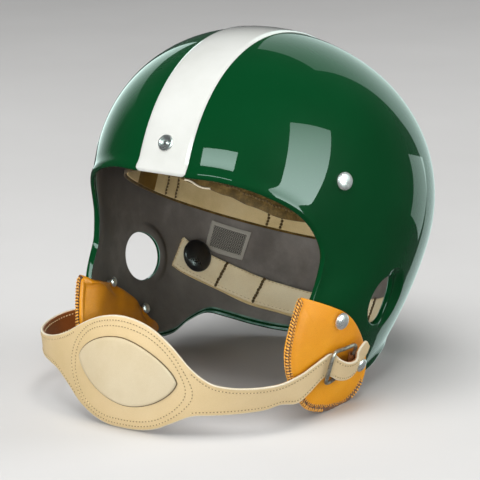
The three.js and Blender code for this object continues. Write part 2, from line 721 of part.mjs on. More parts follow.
// Where a line from inside the helmet meets the shell, set in by the depth of a piece on the wall
function pointOnWall(from, along, offset) {
  let near = 0;
  let far = 80;
  for (let step = 0; step < 30; step += 1) {
    const middle = (near + far) / 2;
    const v = from.clone().addScaledVector(along, middle).sub(SHELL_CENTRE);
    const length = v.length();
    if (length < shellRadius(v.divideScalar(length))) {
      near = middle;
    } else {
      far = middle;
    }
  }
  return onShell(from.clone().addScaledVector(along, near).sub(SHELL_CENTRE).normalize(), offset);
}

function makeTab({ place, side, bare }) {
  const seat = shellFrame(place, side);
  const target = new THREE.Vector3().setFromMatrixPosition(seat).sub(SHELL_CENTRE);
  const c = Math.cos(RING.tilt);
  const s = Math.sin(RING.tilt);
  const across = new THREE.Vector2(target.x / RING.halfWidth, (c * target.y - s * target.z - RING.middle) / RING.halfLength);
  const angle = THREE.MathUtils.radToDeg(Math.atan2(across.x, -across.y));
  const seatHeight = s * target.y + c * target.z;
  const ringOffset = BACKING_OFFSET + RING.backing / 2 + GAP + TAB.thickness / 2;
  const grid = TAB_PATH.map((row) => [-1, 0, 1].map((part) => {
    const at = angle + (part * TAB.width * 0.5 * 57.3) / 96;
    const height = row.wall === 1 ? row.height + seatHeight - 3 : row.height;
    const from = ringPoint(at, height, 0);
    const out = ringPoint(at, height, 1).sub(from);
    const onWall = pointOnWall(from, out, -SHELL.thickness - (bare ? 1.3 : WALL_GAP) - TAB.thickness / 2);
    return ringPoint(at, height, ringOffset).lerp(onWall, row.wall);
  }));
  const tab = sheet(grid, TAB.thickness);
  return bare ? tab : cut(tab, [pin(seat, SHANK_HOLE_RADIUS, -12, 0, 8)]);
}

// The nape band, sewn webbing across the back between two buttons
const NAPE_BAND = { thickness: 2.2, stand: 5 };
const NAPE_BAND_EDGES = [
  { topAzimuth: 110.5, topElevation: -28.0, lowAzimuth: 101.5, lowElevation: -36.6 },
  { topAzimuth: 116.5, topElevation: -32.4, lowAzimuth: 107.5, lowElevation: -40.0 },
  { topAzimuth: 130.6, topElevation: -38.5, lowAzimuth: 122.3, lowElevation: -46.1 },
  { topAzimuth: 147.4, topElevation: -43.7, lowAzimuth: 140.8, lowElevation: -51.6 },
  { topAzimuth: 166.0, topElevation: -46.6, lowAzimuth: 162.0, lowElevation: -54.6 },
  { topAzimuth: 180, topElevation: -47.2, lowAzimuth: 180, lowElevation: -55.0 },
];

function openCurve(rows, t) {
  const place = THREE.MathUtils.clamp(t, 0, 1) * (rows.length - 1);
  const i = Math.min(Math.floor(place), rows.length - 2);
  const near = [i - 1, i, i + 1, i + 2].map((k) => rows[THREE.MathUtils.clamp(k, 0, rows.length - 1)]);
  return Object.fromEntries(Object.keys(rows[0]).map((key) => [key, catmullRom(near.map((row) => row[key]), place - i)]));
}

function makeNapeBand() {
  const around = NAPE_BAND_EDGES.slice(0, -1).reverse().map((row) => ({
    ...row,
    topAzimuth: 360 - row.topAzimuth,
    lowAzimuth: 360 - row.lowAzimuth,
  }));
  const rows = [...NAPE_BAND_EDGES, ...around];
  const steps = 20;
  const columns = 2;
  const grid = Array.from({ length: steps + 1 }, (_, i) => {
    const row = openCurve(rows, i / steps);
    const away = NAPE_BAND.stand * Math.sin(Math.PI * (i / steps)) ** 2;
    const top = direction(row.topAzimuth, row.topElevation);
    const low = direction(row.lowAzimuth, row.lowElevation);
    return Array.from({ length: columns + 1 }, (__, j) => {
      const d = low.clone().lerp(top, j / columns).normalize();
      return onShell(d, -SHELL.thickness - WALL_GAP - NAPE_BAND.thickness / 2 - away);
    });
  });
  const holes = SIDES.map(({ side }) => pin(inwardFrame(NAPE_BUTTON, side), SHANK_HOLE_RADIUS, 3, 12, 8));
  return cut(sheet(grid, NAPE_BAND.thickness), holes);
}

// A thin plate on the shell's inner wall, by its corners' azimuths and elevations
const LABEL = { thickness: 0.5 };
const LABEL_CORNERS = [
  [{ azimuth: -120.5, elevation: -32.6 }, { azimuth: -125.4, elevation: -23.1 }],
  [{ azimuth: -137.0, elevation: -37.1 }, { azimuth: -141.4, elevation: -27.7 }],
];

function makeLabel() {
  const corners = LABEL_CORNERS.map((row) => row.map((corner) => direction(corner.azimuth, corner.elevation)));
  const steps = 4;
  const grid = Array.from({ length: steps + 1 }, (_, i) => {
    const low = corners[0][0].clone().lerp(corners[1][0], i / steps);
    const high = corners[0][1].clone().lerp(corners[1][1], i / steps);
    return Array.from({ length: 3 }, (__, j) => onShell(
      low.clone().lerp(high, j / 2).normalize(),
      -SHELL.thickness - WALL_GAP - LABEL.thickness / 2,
    ));
  });
  return sheet(grid, LABEL.thickness);
}

// The chin strap: from its free end over the left buckle, under the buckle's bar, round the chin
// cup, and back to the stud of the right jaw pad. Rows on the pads go by azimuth, elevation and
// height over the shell of the strap's upper and lower edges.
const STRAP = { thickness: 1.6, lining: 0.7, columns: 4, stepsPerRow: 1 };
const STRAP_ON_LEFT_PAD = [
  { highAzimuth: 70.6, highElevation: -35.4, highOffset: 9.6, lowAzimuth: 73.4, lowElevation: -37.8, lowOffset: 8.6 },
  { highAzimuth: 67.4, highElevation: -35.3, highOffset: 10.6, lowAzimuth: 73.2, lowElevation: -40.2, lowOffset: 8.8 },
  { highAzimuth: 65.8, highElevation: -36.2, highOffset: 11.4, lowAzimuth: 71.6, lowElevation: -42.6, lowOffset: 8.2 },
  { highAzimuth: 65.0, highElevation: -37.4, highOffset: 12.9, lowAzimuth: 70.4, lowElevation: -44.6, lowOffset: 8.6 },
  { highAzimuth: 62.8, highElevation: -37.2, highOffset: 13.2, lowAzimuth: 67.0, lowElevation: -45.2, lowOffset: 9.8 },
  { highAzimuth: 60.4, highElevation: -36.6, highOffset: 12.2, lowAzimuth: 62.6, lowElevation: -44.2, lowOffset: 10.6 },
  { highAzimuth: 58.0, highElevation: -35.6, highOffset: 10.0, lowAzimuth: 58.6, lowElevation: -42.4, lowOffset: 9.6 },
  { highAzimuth: 56.3, highElevation: -34.6, highOffset: 7.4, lowAzimuth: 55.9, lowElevation: -40.6, lowOffset: 7.4 },
  { highAzimuth: 54.4, highElevation: -34.2, highOffset: 6.0, lowAzimuth: 53.8, lowElevation: -40.1, lowOffset: 6.0 },
  { highAzimuth: 51.6, highElevation: -34.4, highOffset: 6.0, lowAzimuth: 51.2, lowElevation: -40.2, lowOffset: 6.0 },
  { highAzimuth: 48.2, highElevation: -34.8, highOffset: 6.0, lowAzimuth: 47.2, lowElevation: -41.1, lowOffset: 6.4 },
  { highAzimuth: 44.2, highElevation: -35.1, highOffset: 6.2, lowAzimuth: 43.1, lowElevation: -41.2, lowOffset: 6.8 },
];
const STRAP_ON_RIGHT_PAD = [
  { highAzimuth: 56.0, highElevation: -34.2, highOffset: 8.6, lowAzimuth: 55.4, lowElevation: -40.0, lowOffset: 7.8 },
  { highAzimuth: 61.0, highElevation: -36.0, highOffset: 7.4, lowAzimuth: 60.0, lowElevation: -41.6, lowOffset: 7.4 },
  { highAzimuth: 66.5, highElevation: -38.6, highOffset: 7.2, lowAzimuth: 65.2, lowElevation: -44.2, lowOffset: 8.2 },
  { highAzimuth: 71.5, highElevation: -41.0, highOffset: 7.6, lowAzimuth: 70.2, lowElevation: -46.2, lowOffset: 9.6 },
  { highAzimuth: 75.2, highElevation: -43.0, highOffset: 8.2, lowAzimuth: 74.6, lowElevation: -45.6, lowOffset: 9.4 },
];

// The free stretch in plan, with the heights of the strap's edges. Lean is how far the upper edge
// stands out over the lower one, and bulge is how far the cup's middle stands out.
const STRAP_FREE = [
  { x: 82.0, y: -103.0, low: 16.5, high: 32.0, lean: 3.6, bulge: 0 },
  { x: 76.4, y: -113.6, low: 14.9, high: 31.4, lean: 3.0, bulge: 0 },
  { x: 69.6, y: -123.6, low: 14.7, high: 31.8, lean: 2.2, bulge: 0 },
  { x: 61.6, y: -132.5, low: 14.6, high: 33.1, lean: 1.4, bulge: 0 },
  { x: 52.6, y: -140.3, low: 14.6, high: 36.5, lean: 0.6, bulge: 0.2 },
  { x: 42.3, y: -146.5, low: 13.9, high: 45.7, lean: 0, bulge: 1 },
  { x: 31.1, y: -150.7, low: 8.6, high: 59.2, lean: 0, bulge: 2.4 },
  { x: 19.4, y: -153.5, low: 3.2, high: 68.8, lean: 0, bulge: 4.2 },
  { x: 7.5, y: -155.0, low: 0.7, high: 73.5, lean: 0, bulge: 5.4 },
  { x: -4.5, y: -155.7, low: 0.2, high: 74.8, lean: 0, bulge: 6 },
  { x: -16.5, y: -155.8, low: 0.7, high: 73.0, lean: 0, bulge: 5.4 },
  { x: -28.5, y: -154.9, low: 4.1, high: 68.6, lean: 0, bulge: 4.2 },
  { x: -40.3, y: -152.9, low: 10.0, high: 62.1, lean: 0, bulge: 2.6 },
  { x: -52.0, y: -150.1, low: 19.5, high: 55.1, lean: 0, bulge: 1 },
  { x: -63.3, y: -146.2, low: 26.0, high: 50.1, lean: 0.4, bulge: 0.2 },
  { x: -74.1, y: -141.1, low: 28.0, high: 46.7, lean: 0.8, bulge: 0 },
  { x: -84.2, y: -134.6, low: 28.6, high: 45.0, lean: 1.2, bulge: 0 },
  { x: -92.3, y: -125.7, low: 28.6, high: 44.6, lean: 1.6, bulge: 0 },
  { x: -98.0, y: -115.2, low: 28.6, high: 44.2, lean: 2, bulge: 0 },
  { x: -101.4, y: -103.7, low: 28.6, high: 44.2, lean: 2.4, bulge: 0 },
  { x: -102.8, y: -91.8, low: 28.6, high: 44.2, lean: 3, bulge: 0 },
  { x: -101.8, y: -79.8, low: 28.6, high: 44.0, lean: 3.6, bulge: 0 },
  { x: -99.0, y: -68.0, low: 27.8, high: 42.8, lean: 4.2, bulge: 0 },
];

function strapRowOnPad(row, side) {
  const low = pointOver(side * row.lowAzimuth, row.lowElevation, row.lowOffset);
  const high = pointOver(side * row.highAzimuth, row.highElevation, row.highOffset);
  return { lowX: low.x, lowY: low.y, lowZ: low.z, highX: high.x, highY: high.y, highZ: high.z, bulge: 0 };
}

function strapRowFree(row, i) {
  const before = STRAP_FREE[Math.max(i - 1, 0)];
  const after = STRAP_FREE[Math.min(i + 1, STRAP_FREE.length - 1)];
  const along = new THREE.Vector2(after.x - before.x, after.y - before.y).normalize();
  const outX = -along.y * (-row.lean / 2);
  const outY = along.x * (-row.lean / 2);
  return {
    lowX: row.x + outX,
    lowY: row.y + outY,
    lowZ: row.low,
    highX: row.x - outX,
    highY: row.y - outY,
    highZ: row.high,
    bulge: row.bulge,
  };
}

const STRAP_ROWS = [
  ...STRAP_ON_LEFT_PAD.map((row) => strapRowOnPad(row, 1)),
  ...STRAP_FREE.map(strapRowFree),
  ...STRAP_ON_RIGHT_PAD.map((row) => strapRowOnPad(row, -1)),
];

// The strap's middle surface, by its row and by the part of its height from its lower edge up
function strapFlat(rowNumber, part) {
  const row = openCurve(STRAP_ROWS, rowNumber / (STRAP_ROWS.length - 1));
  const low = new THREE.Vector3(row.lowX, row.lowY, row.lowZ);
  const high = new THREE.Vector3(row.highX, row.highY, row.highZ);
  return { point: low.lerp(high, part), bulge: row.bulge * (1 - (2 * part - 1) ** 2) };
}

function strapPoint(rowNumber, part, offset) {
  const before = Math.max(rowNumber - 0.05, 0);
  const after = Math.min(rowNumber + 0.05, STRAP_ROWS.length - 1);
  const along = strapFlat(after, part).point.sub(strapFlat(before, part).point);
  const up = strapFlat(rowNumber, 1).point.sub(strapFlat(rowNumber, 0).point);
  const normal = up.cross(along).normalize();
  const { point, bulge } = strapFlat(rowNumber, part);
  return point.addScaledVector(normal, bulge + offset);
}

function strapLayer(offset, thickness, firstRow, inset) {
  const last = STRAP_ROWS.length - 1;
  const steps = Math.round((last - firstRow) * STRAP.stepsPerRow);
  const face = (shift) => Array.from({ length: steps + 1 }, (_, i) => Array.from(
    { length: STRAP.columns + 1 },
    (__, j) => strapPoint(
      firstRow + ((last - firstRow) * i) / steps,
      THREE.MathUtils.lerp(inset, 1 - inset, j / STRAP.columns),
      offset + shift,
    ),
  ));
  return slab(face(thickness / 2), face(-thickness / 2));
}

// The buckle's wire, as a closed loop over the left jaw pad: it crosses over the strap at the
// front, dips to the pad along both sides and lies under the strap at the rear
const BUCKLE_WIRE = { radius: 1.1, sides: 6, steps: 32 };
const BUCKLE_LOOP = [
  { azimuth: 55.1, elevation: -34.6, offset: 8.5 },
  { azimuth: 54.3, elevation: -37.2, offset: 8.5 },
  { azimuth: 53.6, elevation: -40.0, offset: 8.3 },
  { azimuth: 54.0, elevation: -41.2, offset: 7.8 },
  { azimuth: 56.4, elevation: -42.8, offset: 6.2 },
  { azimuth: 60.4, elevation: -43.4, offset: 5.8 },
  { azimuth: 63.8, elevation: -43.6, offset: 6.2 },
  { azimuth: 65.2, elevation: -42.6, offset: 6.7 },
  { azimuth: 66.0, elevation: -39.4, offset: 6.8 },
  { azimuth: 66.4, elevation: -36.8, offset: 7.0 },
  { azimuth: 65.0, elevation: -35.6, offset: 7.0 },
  { azimuth: 61.0, elevation: -35.4, offset: 6.2 },
  { azimuth: 58.0, elevation: -34.6, offset: 6.6 },
  { azimuth: 56.2, elevation: -33.8, offset: 8.0 },
];

function buckleSolid(radius) {
  const count = BUCKLE_LOOP.length;
  const points = BUCKLE_LOOP.map((row) => pointOver(row.azimuth, row.elevation, row.offset));
  const at = (u) => {
    const place = (((u % 1) + 1) % 1) * count;
    const i = Math.floor(place);
    const near = [i - 1, i, i + 1, i + 2].map((k) => points[(k + count) % count]);
    return new THREE.Vector3(...['x', 'y', 'z'].map((axis) => catmullRom(near.map((p) => p[axis]), place - i)));
  };
  const normal = shellNormal(direction(60, -38.5));
  const { sides, steps } = BUCKLE_WIRE;
  const rings = Array.from({ length: steps }, (_, i) => {
    const u = i / steps;
    const middle = at(u);
    const along = at(u + 0.004).sub(at(u - 0.004)).normalize();
    const side = along.clone().cross(normal).normalize();
    const up = side.clone().cross(along);
    return Array.from({ length: sides }, (__, j) => {
      const a = (2 * Math.PI * j) / sides;
      return middle.clone().addScaledVector(side, radius * Math.cos(a)).addScaledVector(up, radius * Math.sin(a));
    });
  });
  const index = (i, j) => (i % steps) * sides + (j % sides);
  const triangles = [];
  for (let i = 0; i < steps; i += 1) {
    for (let j = 0; j < sides; j += 1) {
      triangles.push([index(i, j), index(i + 1, j), index(i + 1, j + 1)], [index(i, j), index(i + 1, j + 1), index(i, j + 1)]);
    }
  }
  return solidFromTriangles(rings.flat(), triangles);
}

// The keeper: a leather hairpin round the buckle's rear wire, held to the pad by the stud
const KEEPER = { thickness: 1.0 };
const KEEPER_PATH = [
  { azimuth: 73.4, offset: 7.2 },
  { azimuth: 70.6, offset: 6.0 },
  { azimuth: 67.6, offset: 5.3 },
  { azimuth: 65.6, offset: 5.2 },
  { azimuth: 64.2, offset: 5.9 },
  { azimuth: 63.9, offset: 6.9 },
  { azimuth: 64.5, offset: 7.9 },
  { azimuth: 65.4, offset: 8.3 },
];

function makeKeeper() {
  const grid = KEEPER_PATH.map((row) => [0, 0.5, 1].map((part) => {
    const fall = (row.azimuth - 65) * 0.62;
    return pointOver(row.azimuth, -41.6 + 3.6 * part - Math.max(fall, 0), row.offset);
  }));
  return sheet(grid, KEEPER.thickness);
}

// The stitched oval on the front of the chin cup, about the strap's row and height. Slope is how
// much its middle rises from row to row, and the two powers draw its ends in to soft points.
const CUP_PANEL = { thickness: 1.2, gap: 0.5, spokes: 28 };
const CUP_PANEL_OVAL = {
  row: 20.65,
  halfRows: 2.95,
  height: 39.7,
  halfHeight: 21.8,
  slope: 1.2,
  reach: 1.8,
  blunting: 0.7,
};

const STRAP_OUTER = STRAP.thickness / 2;
const LINING_OFFSET = -STRAP_OUTER - GAP - STRAP.lining / 2;

// A point of the panel by its angle round the oval and the part of the way out to the oval
function cupPanelPoint(angle, part, offset) {
  const { row, halfRows, height, halfHeight, slope, reach, blunting } = CUP_PANEL_OVAL;
  const across = Math.cos(angle);
  const rise = Math.sign(Math.sin(angle)) * Math.max(0, 1 - Math.abs(across) ** reach) ** blunting;
  const rowNumber = row + part * halfRows * across;
  const z = height + slope * (rowNumber - row) + part * halfHeight * rise;
  const low = strapFlat(rowNumber, 0).point.z;
  const high = strapFlat(rowNumber, 1).point.z;
  return strapPoint(rowNumber, (z - low) / (high - low), offset);
}

function makeCupPanel() {
  const front = STRAP_OUTER + CUP_PANEL.gap + CUP_PANEL.thickness;
  const back = STRAP_OUTER + CUP_PANEL.gap;
  const face = (offset) => [1, 0.75, 0.4].map((part) => Array.from(
    { length: CUP_PANEL.spokes },
    (_, i) => cupPanelPoint((2 * Math.PI * i) / CUP_PANEL.spokes, part, offset),
  ));
  return closedCap(face(front), face(back), cupPanelPoint(0, 0, front), cupPanelPoint(0, 0, back));
}

function largest(solid) {
  return solid.decompose().sort((a, b) => b.volume() - a.volume())[0];
}

// The strap and its lining, clear of the buckle's wire, of the studs' shanks and of their heads
function makeStrapLayer(offset, thickness, firstRow, inset) {
  const wire = toManifold(buckleSolid(BUCKLE_WIRE.radius + GAP));
  let solid = toManifold(strapLayer(offset, thickness, firstRow, inset)).subtract(wire);
  SIDES.forEach(({ side }) => {
    const frame = shellFrame(STRAP_STUD, side);
    solid = solid.subtract(toManifold(pin(frame, SHANK_HOLE_RADIUS, 0, 14, 8)));
    solid = solid.subtract(toManifold(pin(frame, STRAP_STUD.radius + GAP, STRAP_STUD.seat - GAP, 16, 14)));
  });
  return toGeometry(largest(solid));
}

const materials = {
  shell: { color: 0x024a26, roughness: 0.12, metalness: 0 },
  stripe: { color: 0xf2f4ef, roughness: 0.2, metalness: 0 },
  metal: { color: 0xd8dadc, roughness: 0.18, metalness: 1 },
  pad_leather: { color: 0xd98a24, roughness: 0.5, metalness: 0 },
  strap_leather: { color: 0xe6d3a3, roughness: 0.6, metalness: 0 },
  sweatband_leather: { color: 0xb3956a, roughness: 0.6, metalness: 0 },
  lining: { color: 0x7a4c22, roughness: 0.9, metalness: 0 },
  webbing: { color: 0xd8ccae, roughness: 0.9, metalness: 0 },
  button: { color: 0x0c0c0d, roughness: 0.15, metalness: 0 },
  label: { color: 0x9d9a92, roughness: 0.5, metalness: 0 },
};

const helmet = new THREE.Group();
helmet.name = 'football_helmet';

function place(name, geometry, slot) {
  const mesh = new THREE.Mesh(geometry, new THREE.MeshStandardMaterial({ ...materials[slot], name: slot }));
  mesh.name = name;
  helmet.add(mesh);
}

place('shell', makeShell(), 'shell');
place('stripe', makeStripe(), 'stripe');
place('front_screw', makeFrontScrew(), 'metal');
SIDES.forEach(({ name, side }) => {
  const rivet = { ...SIDE_RIVET, seat: GAP };
  place(`side_rivet_${name}`, dome(rivet, shellFrame(SIDE_RIVET, side), -6.4), 'metal');
  place(`jaw_pad_${name}`, makeJawPad(side), 'pad_leather');
  place(`pad_rivet_${name}`, dome(PAD_RIVET, shellFrame(settled(PAD_RIVET, side), side), -SHELL.thickness), 'metal');
  place(`strap_stud_${name}`, dome(STRAP_STUD, shellFrame(STRAP_STUD, side), -SHELL.thickness), 'metal');
  PAD_SNAPS.forEach((snap) => {
    place(`pad_snap_${snap.level}_${name}`, dome(snap, inwardFrame(snap, side), SHELL.thickness + 1), 'metal');
  });
  place(`nape_button_${name}`, dome(NAPE_BUTTON, inwardFrame(NAPE_BUTTON, side), SHELL.thickness + 1, 16), 'button');
});
place('sweatband', ringSolid(RING.thickness, 0, 0, 0, 1), 'sweatband_leather');
place('sweatband_backing', ringSolid(RING.backing, BACKING_OFFSET, -1.5, -1, 1), 'lining');
TABS.forEach((tab) => place(`hanging_tab_${tab.name}`, makeTab(tab), 'webbing'));
place('nape_band', makeNapeBand(), 'strap_leather');
place('label_plate', makeLabel(), 'label');
place('chin_strap', makeStrapLayer(0, STRAP.thickness, 0, 0), 'strap_leather');
place('strap_lining', makeStrapLayer(LINING_OFFSET, STRAP.lining, 2, 0), 'lining');
place('cup_panel', makeCupPanel(), 'strap_leather');
place('buckle_frame', buckleSolid(BUCKLE_WIRE.radius), 'metal');
const keeper = cut(makeKeeper(), [
  buckleSolid(BUCKLE_WIRE.radius + GAP),
  pin(shellFrame(STRAP_STUD), SHANK_HOLE_RADIUS, 0, 14, 8),
  strapLayer(LINING_OFFSET, STRAP.lining + 2 * GAP, 2, 0),
]);
place('buckle_keeper', keeper, 'lining');

// The origin goes to the middle of the bottom of the whole helmet's box
const wholeBox = new THREE.Box3().setFromObject(helmet);
const toOrigin = new THREE.Vector3(0, -(wholeBox.min.y + wholeBox.max.y) / 2, 0);
helmet.children.forEach((mesh) => mesh.geometry.translate(toOrigin.x, toOrigin.y, toOrigin.z));

export default helmet;
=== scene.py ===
"""A football helmet with leather jaw pads and a chin cup, resting on a pale floor."""

import math

import bpy
import numpy as np
from mathutils import Matrix


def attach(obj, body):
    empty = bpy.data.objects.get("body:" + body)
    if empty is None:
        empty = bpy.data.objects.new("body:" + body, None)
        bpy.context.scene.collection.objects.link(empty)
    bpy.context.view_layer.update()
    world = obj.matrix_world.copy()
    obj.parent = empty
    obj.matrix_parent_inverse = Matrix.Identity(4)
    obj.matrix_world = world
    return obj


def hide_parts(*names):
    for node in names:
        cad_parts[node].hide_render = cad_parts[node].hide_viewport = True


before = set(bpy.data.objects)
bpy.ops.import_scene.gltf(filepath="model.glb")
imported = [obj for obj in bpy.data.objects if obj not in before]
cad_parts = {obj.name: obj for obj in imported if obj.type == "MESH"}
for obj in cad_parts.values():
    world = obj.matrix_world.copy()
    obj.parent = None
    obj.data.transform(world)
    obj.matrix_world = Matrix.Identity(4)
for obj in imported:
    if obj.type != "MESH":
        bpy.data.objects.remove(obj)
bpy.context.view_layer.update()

# Lengths below are millimetres in the shell's own frame. ORIGIN moves them to the row's frame.
MM = 0.001
ORIGIN = np.array([0.0, 17.126, 0.0])
CENTRE = np.array([0.0, 0.0, 125.0])
HALF_WIDTH, FRONT, BACK, CROWN = 109.0, 123.5, 131.2, 108.4
SKIRT_SIDE, SKIRT_FORE_AFT, SKIRT_BOW = 200.5, -55.4, 68.4
ROUNDNESS, SKIRT_ROUNDNESS = 2.11, 1.6
TILT = math.radians(23.7)
THICKNESS = 4.0
WAIST = {"azimuth": 52, "elevation": -15, "depth": 5, "half": 15, "above": 18, "below": 7}
LIP_WIDTH = 10.0
CAP_REACH, BEAD_DEPTH, BEAD_WIDTH = 1.5, 1.25, 3.2

# azimuth, elevation, flare
EDGE = np.array([
    (0, 16.3, 3.2), (10, 15.9, 3.2), (20.4, 15.3, 3.2), (32.3, 12.2, 3.4), (42.7, 6.8, 3.0), (49, 0.1, 2.2),
    (52.2, -8, 2.0), (51, -15.6, 1.6), (47.6, -21.6, 1.0), (44.6, -27.5, 0.4), (43.4, -35, 0), (46.8, -41, 0),
    (54, -46.6, 0), (67, -51.4, 0), (80, -54.6, 1.5), (92, -55.6, 3.0), (104, -54, 3.2), (116.3, -52.7, 3.2),
    (127, -54.5, 3.2), (137, -56.3, 3.2), (150, -57.9, 3.2), (165, -58.6, 3.2), (180, -58.8, 3.2),
])
EAR = {"azimuth": 85, "elevation": -30.2, "hole": 17, "floor": 19, "sink": 0.5, "turn": 14, "back": 3.4}
SCREW = {"azimuth": 0, "elevation": 25.4, "radius": 4.8}
SIDE_RIVET = {"azimuth": 60.9, "elevation": 15.1, "radius": 5.8, "dome": 2.6, "seat": 0.3}
PAD_RIVET = {"azimuth": 59.3, "elevation": -27.5, "settle": 4.4, "seen": 5, "radius": 5.2, "dome": 2.6, "seat": 3.2}
STUD = {"azimuth": 70.9, "elevation": -42.9, "seen": 9, "radius": 4.7, "dome": 2.4, "seat": 9.6}
SNAPS = {
    "upper": {"azimuth": 56.9, "elevation": -32.0, "seen": -9, "radius": 3.6, "dome": 2.2, "seat": 9},
    "lower": {"azimuth": 73.0, "elevation": -46.5, "seen": -9, "radius": 3.6, "dome": 2.2, "seat": 8.6},
}
BUTTON = {"azimuth": 114.9, "elevation": -36.0, "seen": -8, "radius": 10.5, "dome": 4.2, "seat": 8.6}
SIDES = (("left", 1), ("right", -1))


# Directions and points on the shell


def unit(v):
    return v / np.linalg.norm(v, axis=-1, keepdims=True)


def direction(azimuth, elevation):
    a, e = np.radians(azimuth), np.radians(elevation)
    return np.stack([np.sin(a) * np.cos(e), -np.cos(a) * np.cos(e), np.sin(e) + 0 * a], axis=-1)


def waist_depth(d):
    azimuth = np.degrees(np.arctan2(np.abs(d[..., 0]), -d[..., 1]))
    elevation = np.degrees(np.arctan2(d[..., 2], np.hypot(d[..., 0], d[..., 1])))
    beside = (azimuth - WAIST["azimuth"]) / WAIST["half"]
    rise = elevation - WAIST["elevation"]
    over = rise / np.where(rise > 0, WAIST["above"], WAIST["below"])
    return WAIST["depth"] * np.exp(-beside * beside - over * over)


def shell_radius(d):
    c, s = math.cos(TILT), math.sin(TILT)
    y = c * d[..., 1] - s * d[..., 2]
    z = s * d[..., 1] + c * d[..., 2]
    fore_aft = y / (np.hypot(d[..., 0], y) + 1e-9)
    skirt = SKIRT_SIDE + SKIRT_FORE_AFT * fore_aft + SKIRT_BOW * fore_aft * fore_aft
    depth = np.where(z > 0, CROWN, skirt)
    power = np.where(z > 0, ROUNDNESS, SKIRT_ROUNDNESS)
    n = ROUNDNESS
    flat = (np.abs(d[..., 0]) / HALF_WIDTH) ** n + (np.abs(y) / np.where(y > 0, BACK, FRONT)) ** n
    rise = np.maximum(np.abs(z) / depth, 1e-9)
    r = (flat + rise ** n) ** (-1 / n)
    for _ in range(10):
        value = flat * r ** n + (rise * r) ** power - 1
        slope = n * flat * r ** (n - 1) + power * rise ** power * r ** (power - 1)
        r = r - value / slope
    return r - waist_depth(d)


def beyond(point):
    """How far a point lies beyond the plain outer form, measured from the centre."""
    v = point - CENTRE
    length = np.linalg.norm(v, axis=-1)
    return length - shell_radius(v / length[..., None])


def plain_point(d):
    return CENTRE + d * shell_radius(d)[..., None]


def normal_at(point):
    step = 0.05
    parts = []
    for axis in range(3):
        shift = np.zeros(3)
        shift[axis] = step
        parts.append(beyond(point + shift) - beyond(point - shift))
    return unit(np.stack(parts, axis=-1))


def shell_normal(d):
    return normal_at(plain_point(d))


def spline(values, t):
    """A closed smooth curve through rows of numbers, by the part of the way round."""
    count = len(values)
    place = np.mod(t, 1.0) * count
    i = np.floor(place).astype(int)
    f = (place - i)[..., None]
    p0, p1, p2, p3 = (values[(i + k) % count] for k in (-1, 0, 1, 2))
    return 0.5 * (2 * p1 + (p2 - p0) * f + (2 * p0 - 5 * p1 + 4 * p2 - p3) * f ** 2 + (3 * p1 - p0 - 3 * p2 + p3) * f ** 3)


def open_spline(values, t):
    last = len(values) - 1
    place = np.clip(t, 0, 1) * last
    i = np.minimum(np.floor(place).astype(int), last - 1)
    f = (place - i)[..., None]
    p0, p1, p2, p3 = (values[np.clip(i + k, 0, last)] for k in (-1, 0, 1, 2))
    return 0.5 * (2 * p1 + (p2 - p0) * f + (2 * p0 - 5 * p1 + 4 * p2 - p3) * f ** 2 + (3 * p1 - p0 - 3 * p2 + p3) * f ** 3)


def smoothstep(x, low, high):
    t = np.clip((x - low) / (high - low), 0, 1)
    return t * t * (3 - 2 * t)


def closed_directions(azimuth, elevation, extra, t):
    rows = np.column_stack([direction(azimuth, elevation), extra])
    at = spline(rows, t)
    return unit(at[..., :3]), at[..., 3]


mirrored = EDGE[-2:0:-1] * np.array([-1, 1, 1])
WHOLE_EDGE = np.vstack([EDGE, mirrored])
EDGE_STEPS = 1056
edge_d, edge_flare = closed_directions(*WHOLE_EDGE.T, np.arange(EDGE_STEPS) / EDGE_STEPS)
edge_points = plain_point(edge_d)


def lip_lift(points):
    flat = points.reshape(-1, 3)
    lift = np.zeros(len(flat))
    for start in range(0, len(flat), 4000):
        block = flat[start:start + 4000]
        gap = np.linalg.norm(block[:, None] - edge_points[None], axis=-1)
        near = gap.argmin(axis=1)
        distance = gap[np.arange(len(block)), near]
        part = np.clip(1 - distance / LIP_WIDTH, 0, 1) ** 2
        lift[start:start + 4000] = edge_flare[near] * part
    return lift.reshape(points.shape[:-1])


def on_shell(d, offset):
    point = plain_point(d)
    return point + normal_at(point) * np.asarray(lip_lift(point) + offset)[..., None]


def rounding(distance):
    """How far the outer face turns in again over the last few millimetres of the lip."""
    return BEAD_DEPTH * np.clip(1 - (distance - CAP_REACH) / BEAD_WIDTH, 0, None) ** 2


def foot_of(d, offset):
    foot = d.copy()
    for _ in range(3):
        seen = unit(plain_point(foot) + shell_normal(foot) * np.asarray(offset)[..., None] - CENTRE)
        foot = unit(foot + d - seen)
    return foot


def over_plain(d, offset):
    offset = np.broadcast_to(np.asarray(offset, float), d.shape[:-1])
    foot = foot_of(d, offset)
    return plain_point(foot) + shell_normal(foot) * offset[..., None]


def shell_frame(place, side=1, inward=False):
    """(origin, x, y, z) on the plain outer face, z along the outward normal, or inwards."""
    settle = place.get("settle", 0) if side < 0 else 0
    d = direction(np.array([side * place["azimuth"]]), np.array([place["elevation"] - settle]))
    d = foot_of(d, np.array([float(place.get("seen", 0))]))
    z = shell_normal(d)[0]
    x = unit(np.cross([0, 0, 1], z))
    y = np.cross(z, x)
    if inward:
        y, z = -y, -z
    return plain_point(d)[0], x, y, z


# Meshes from grids of points


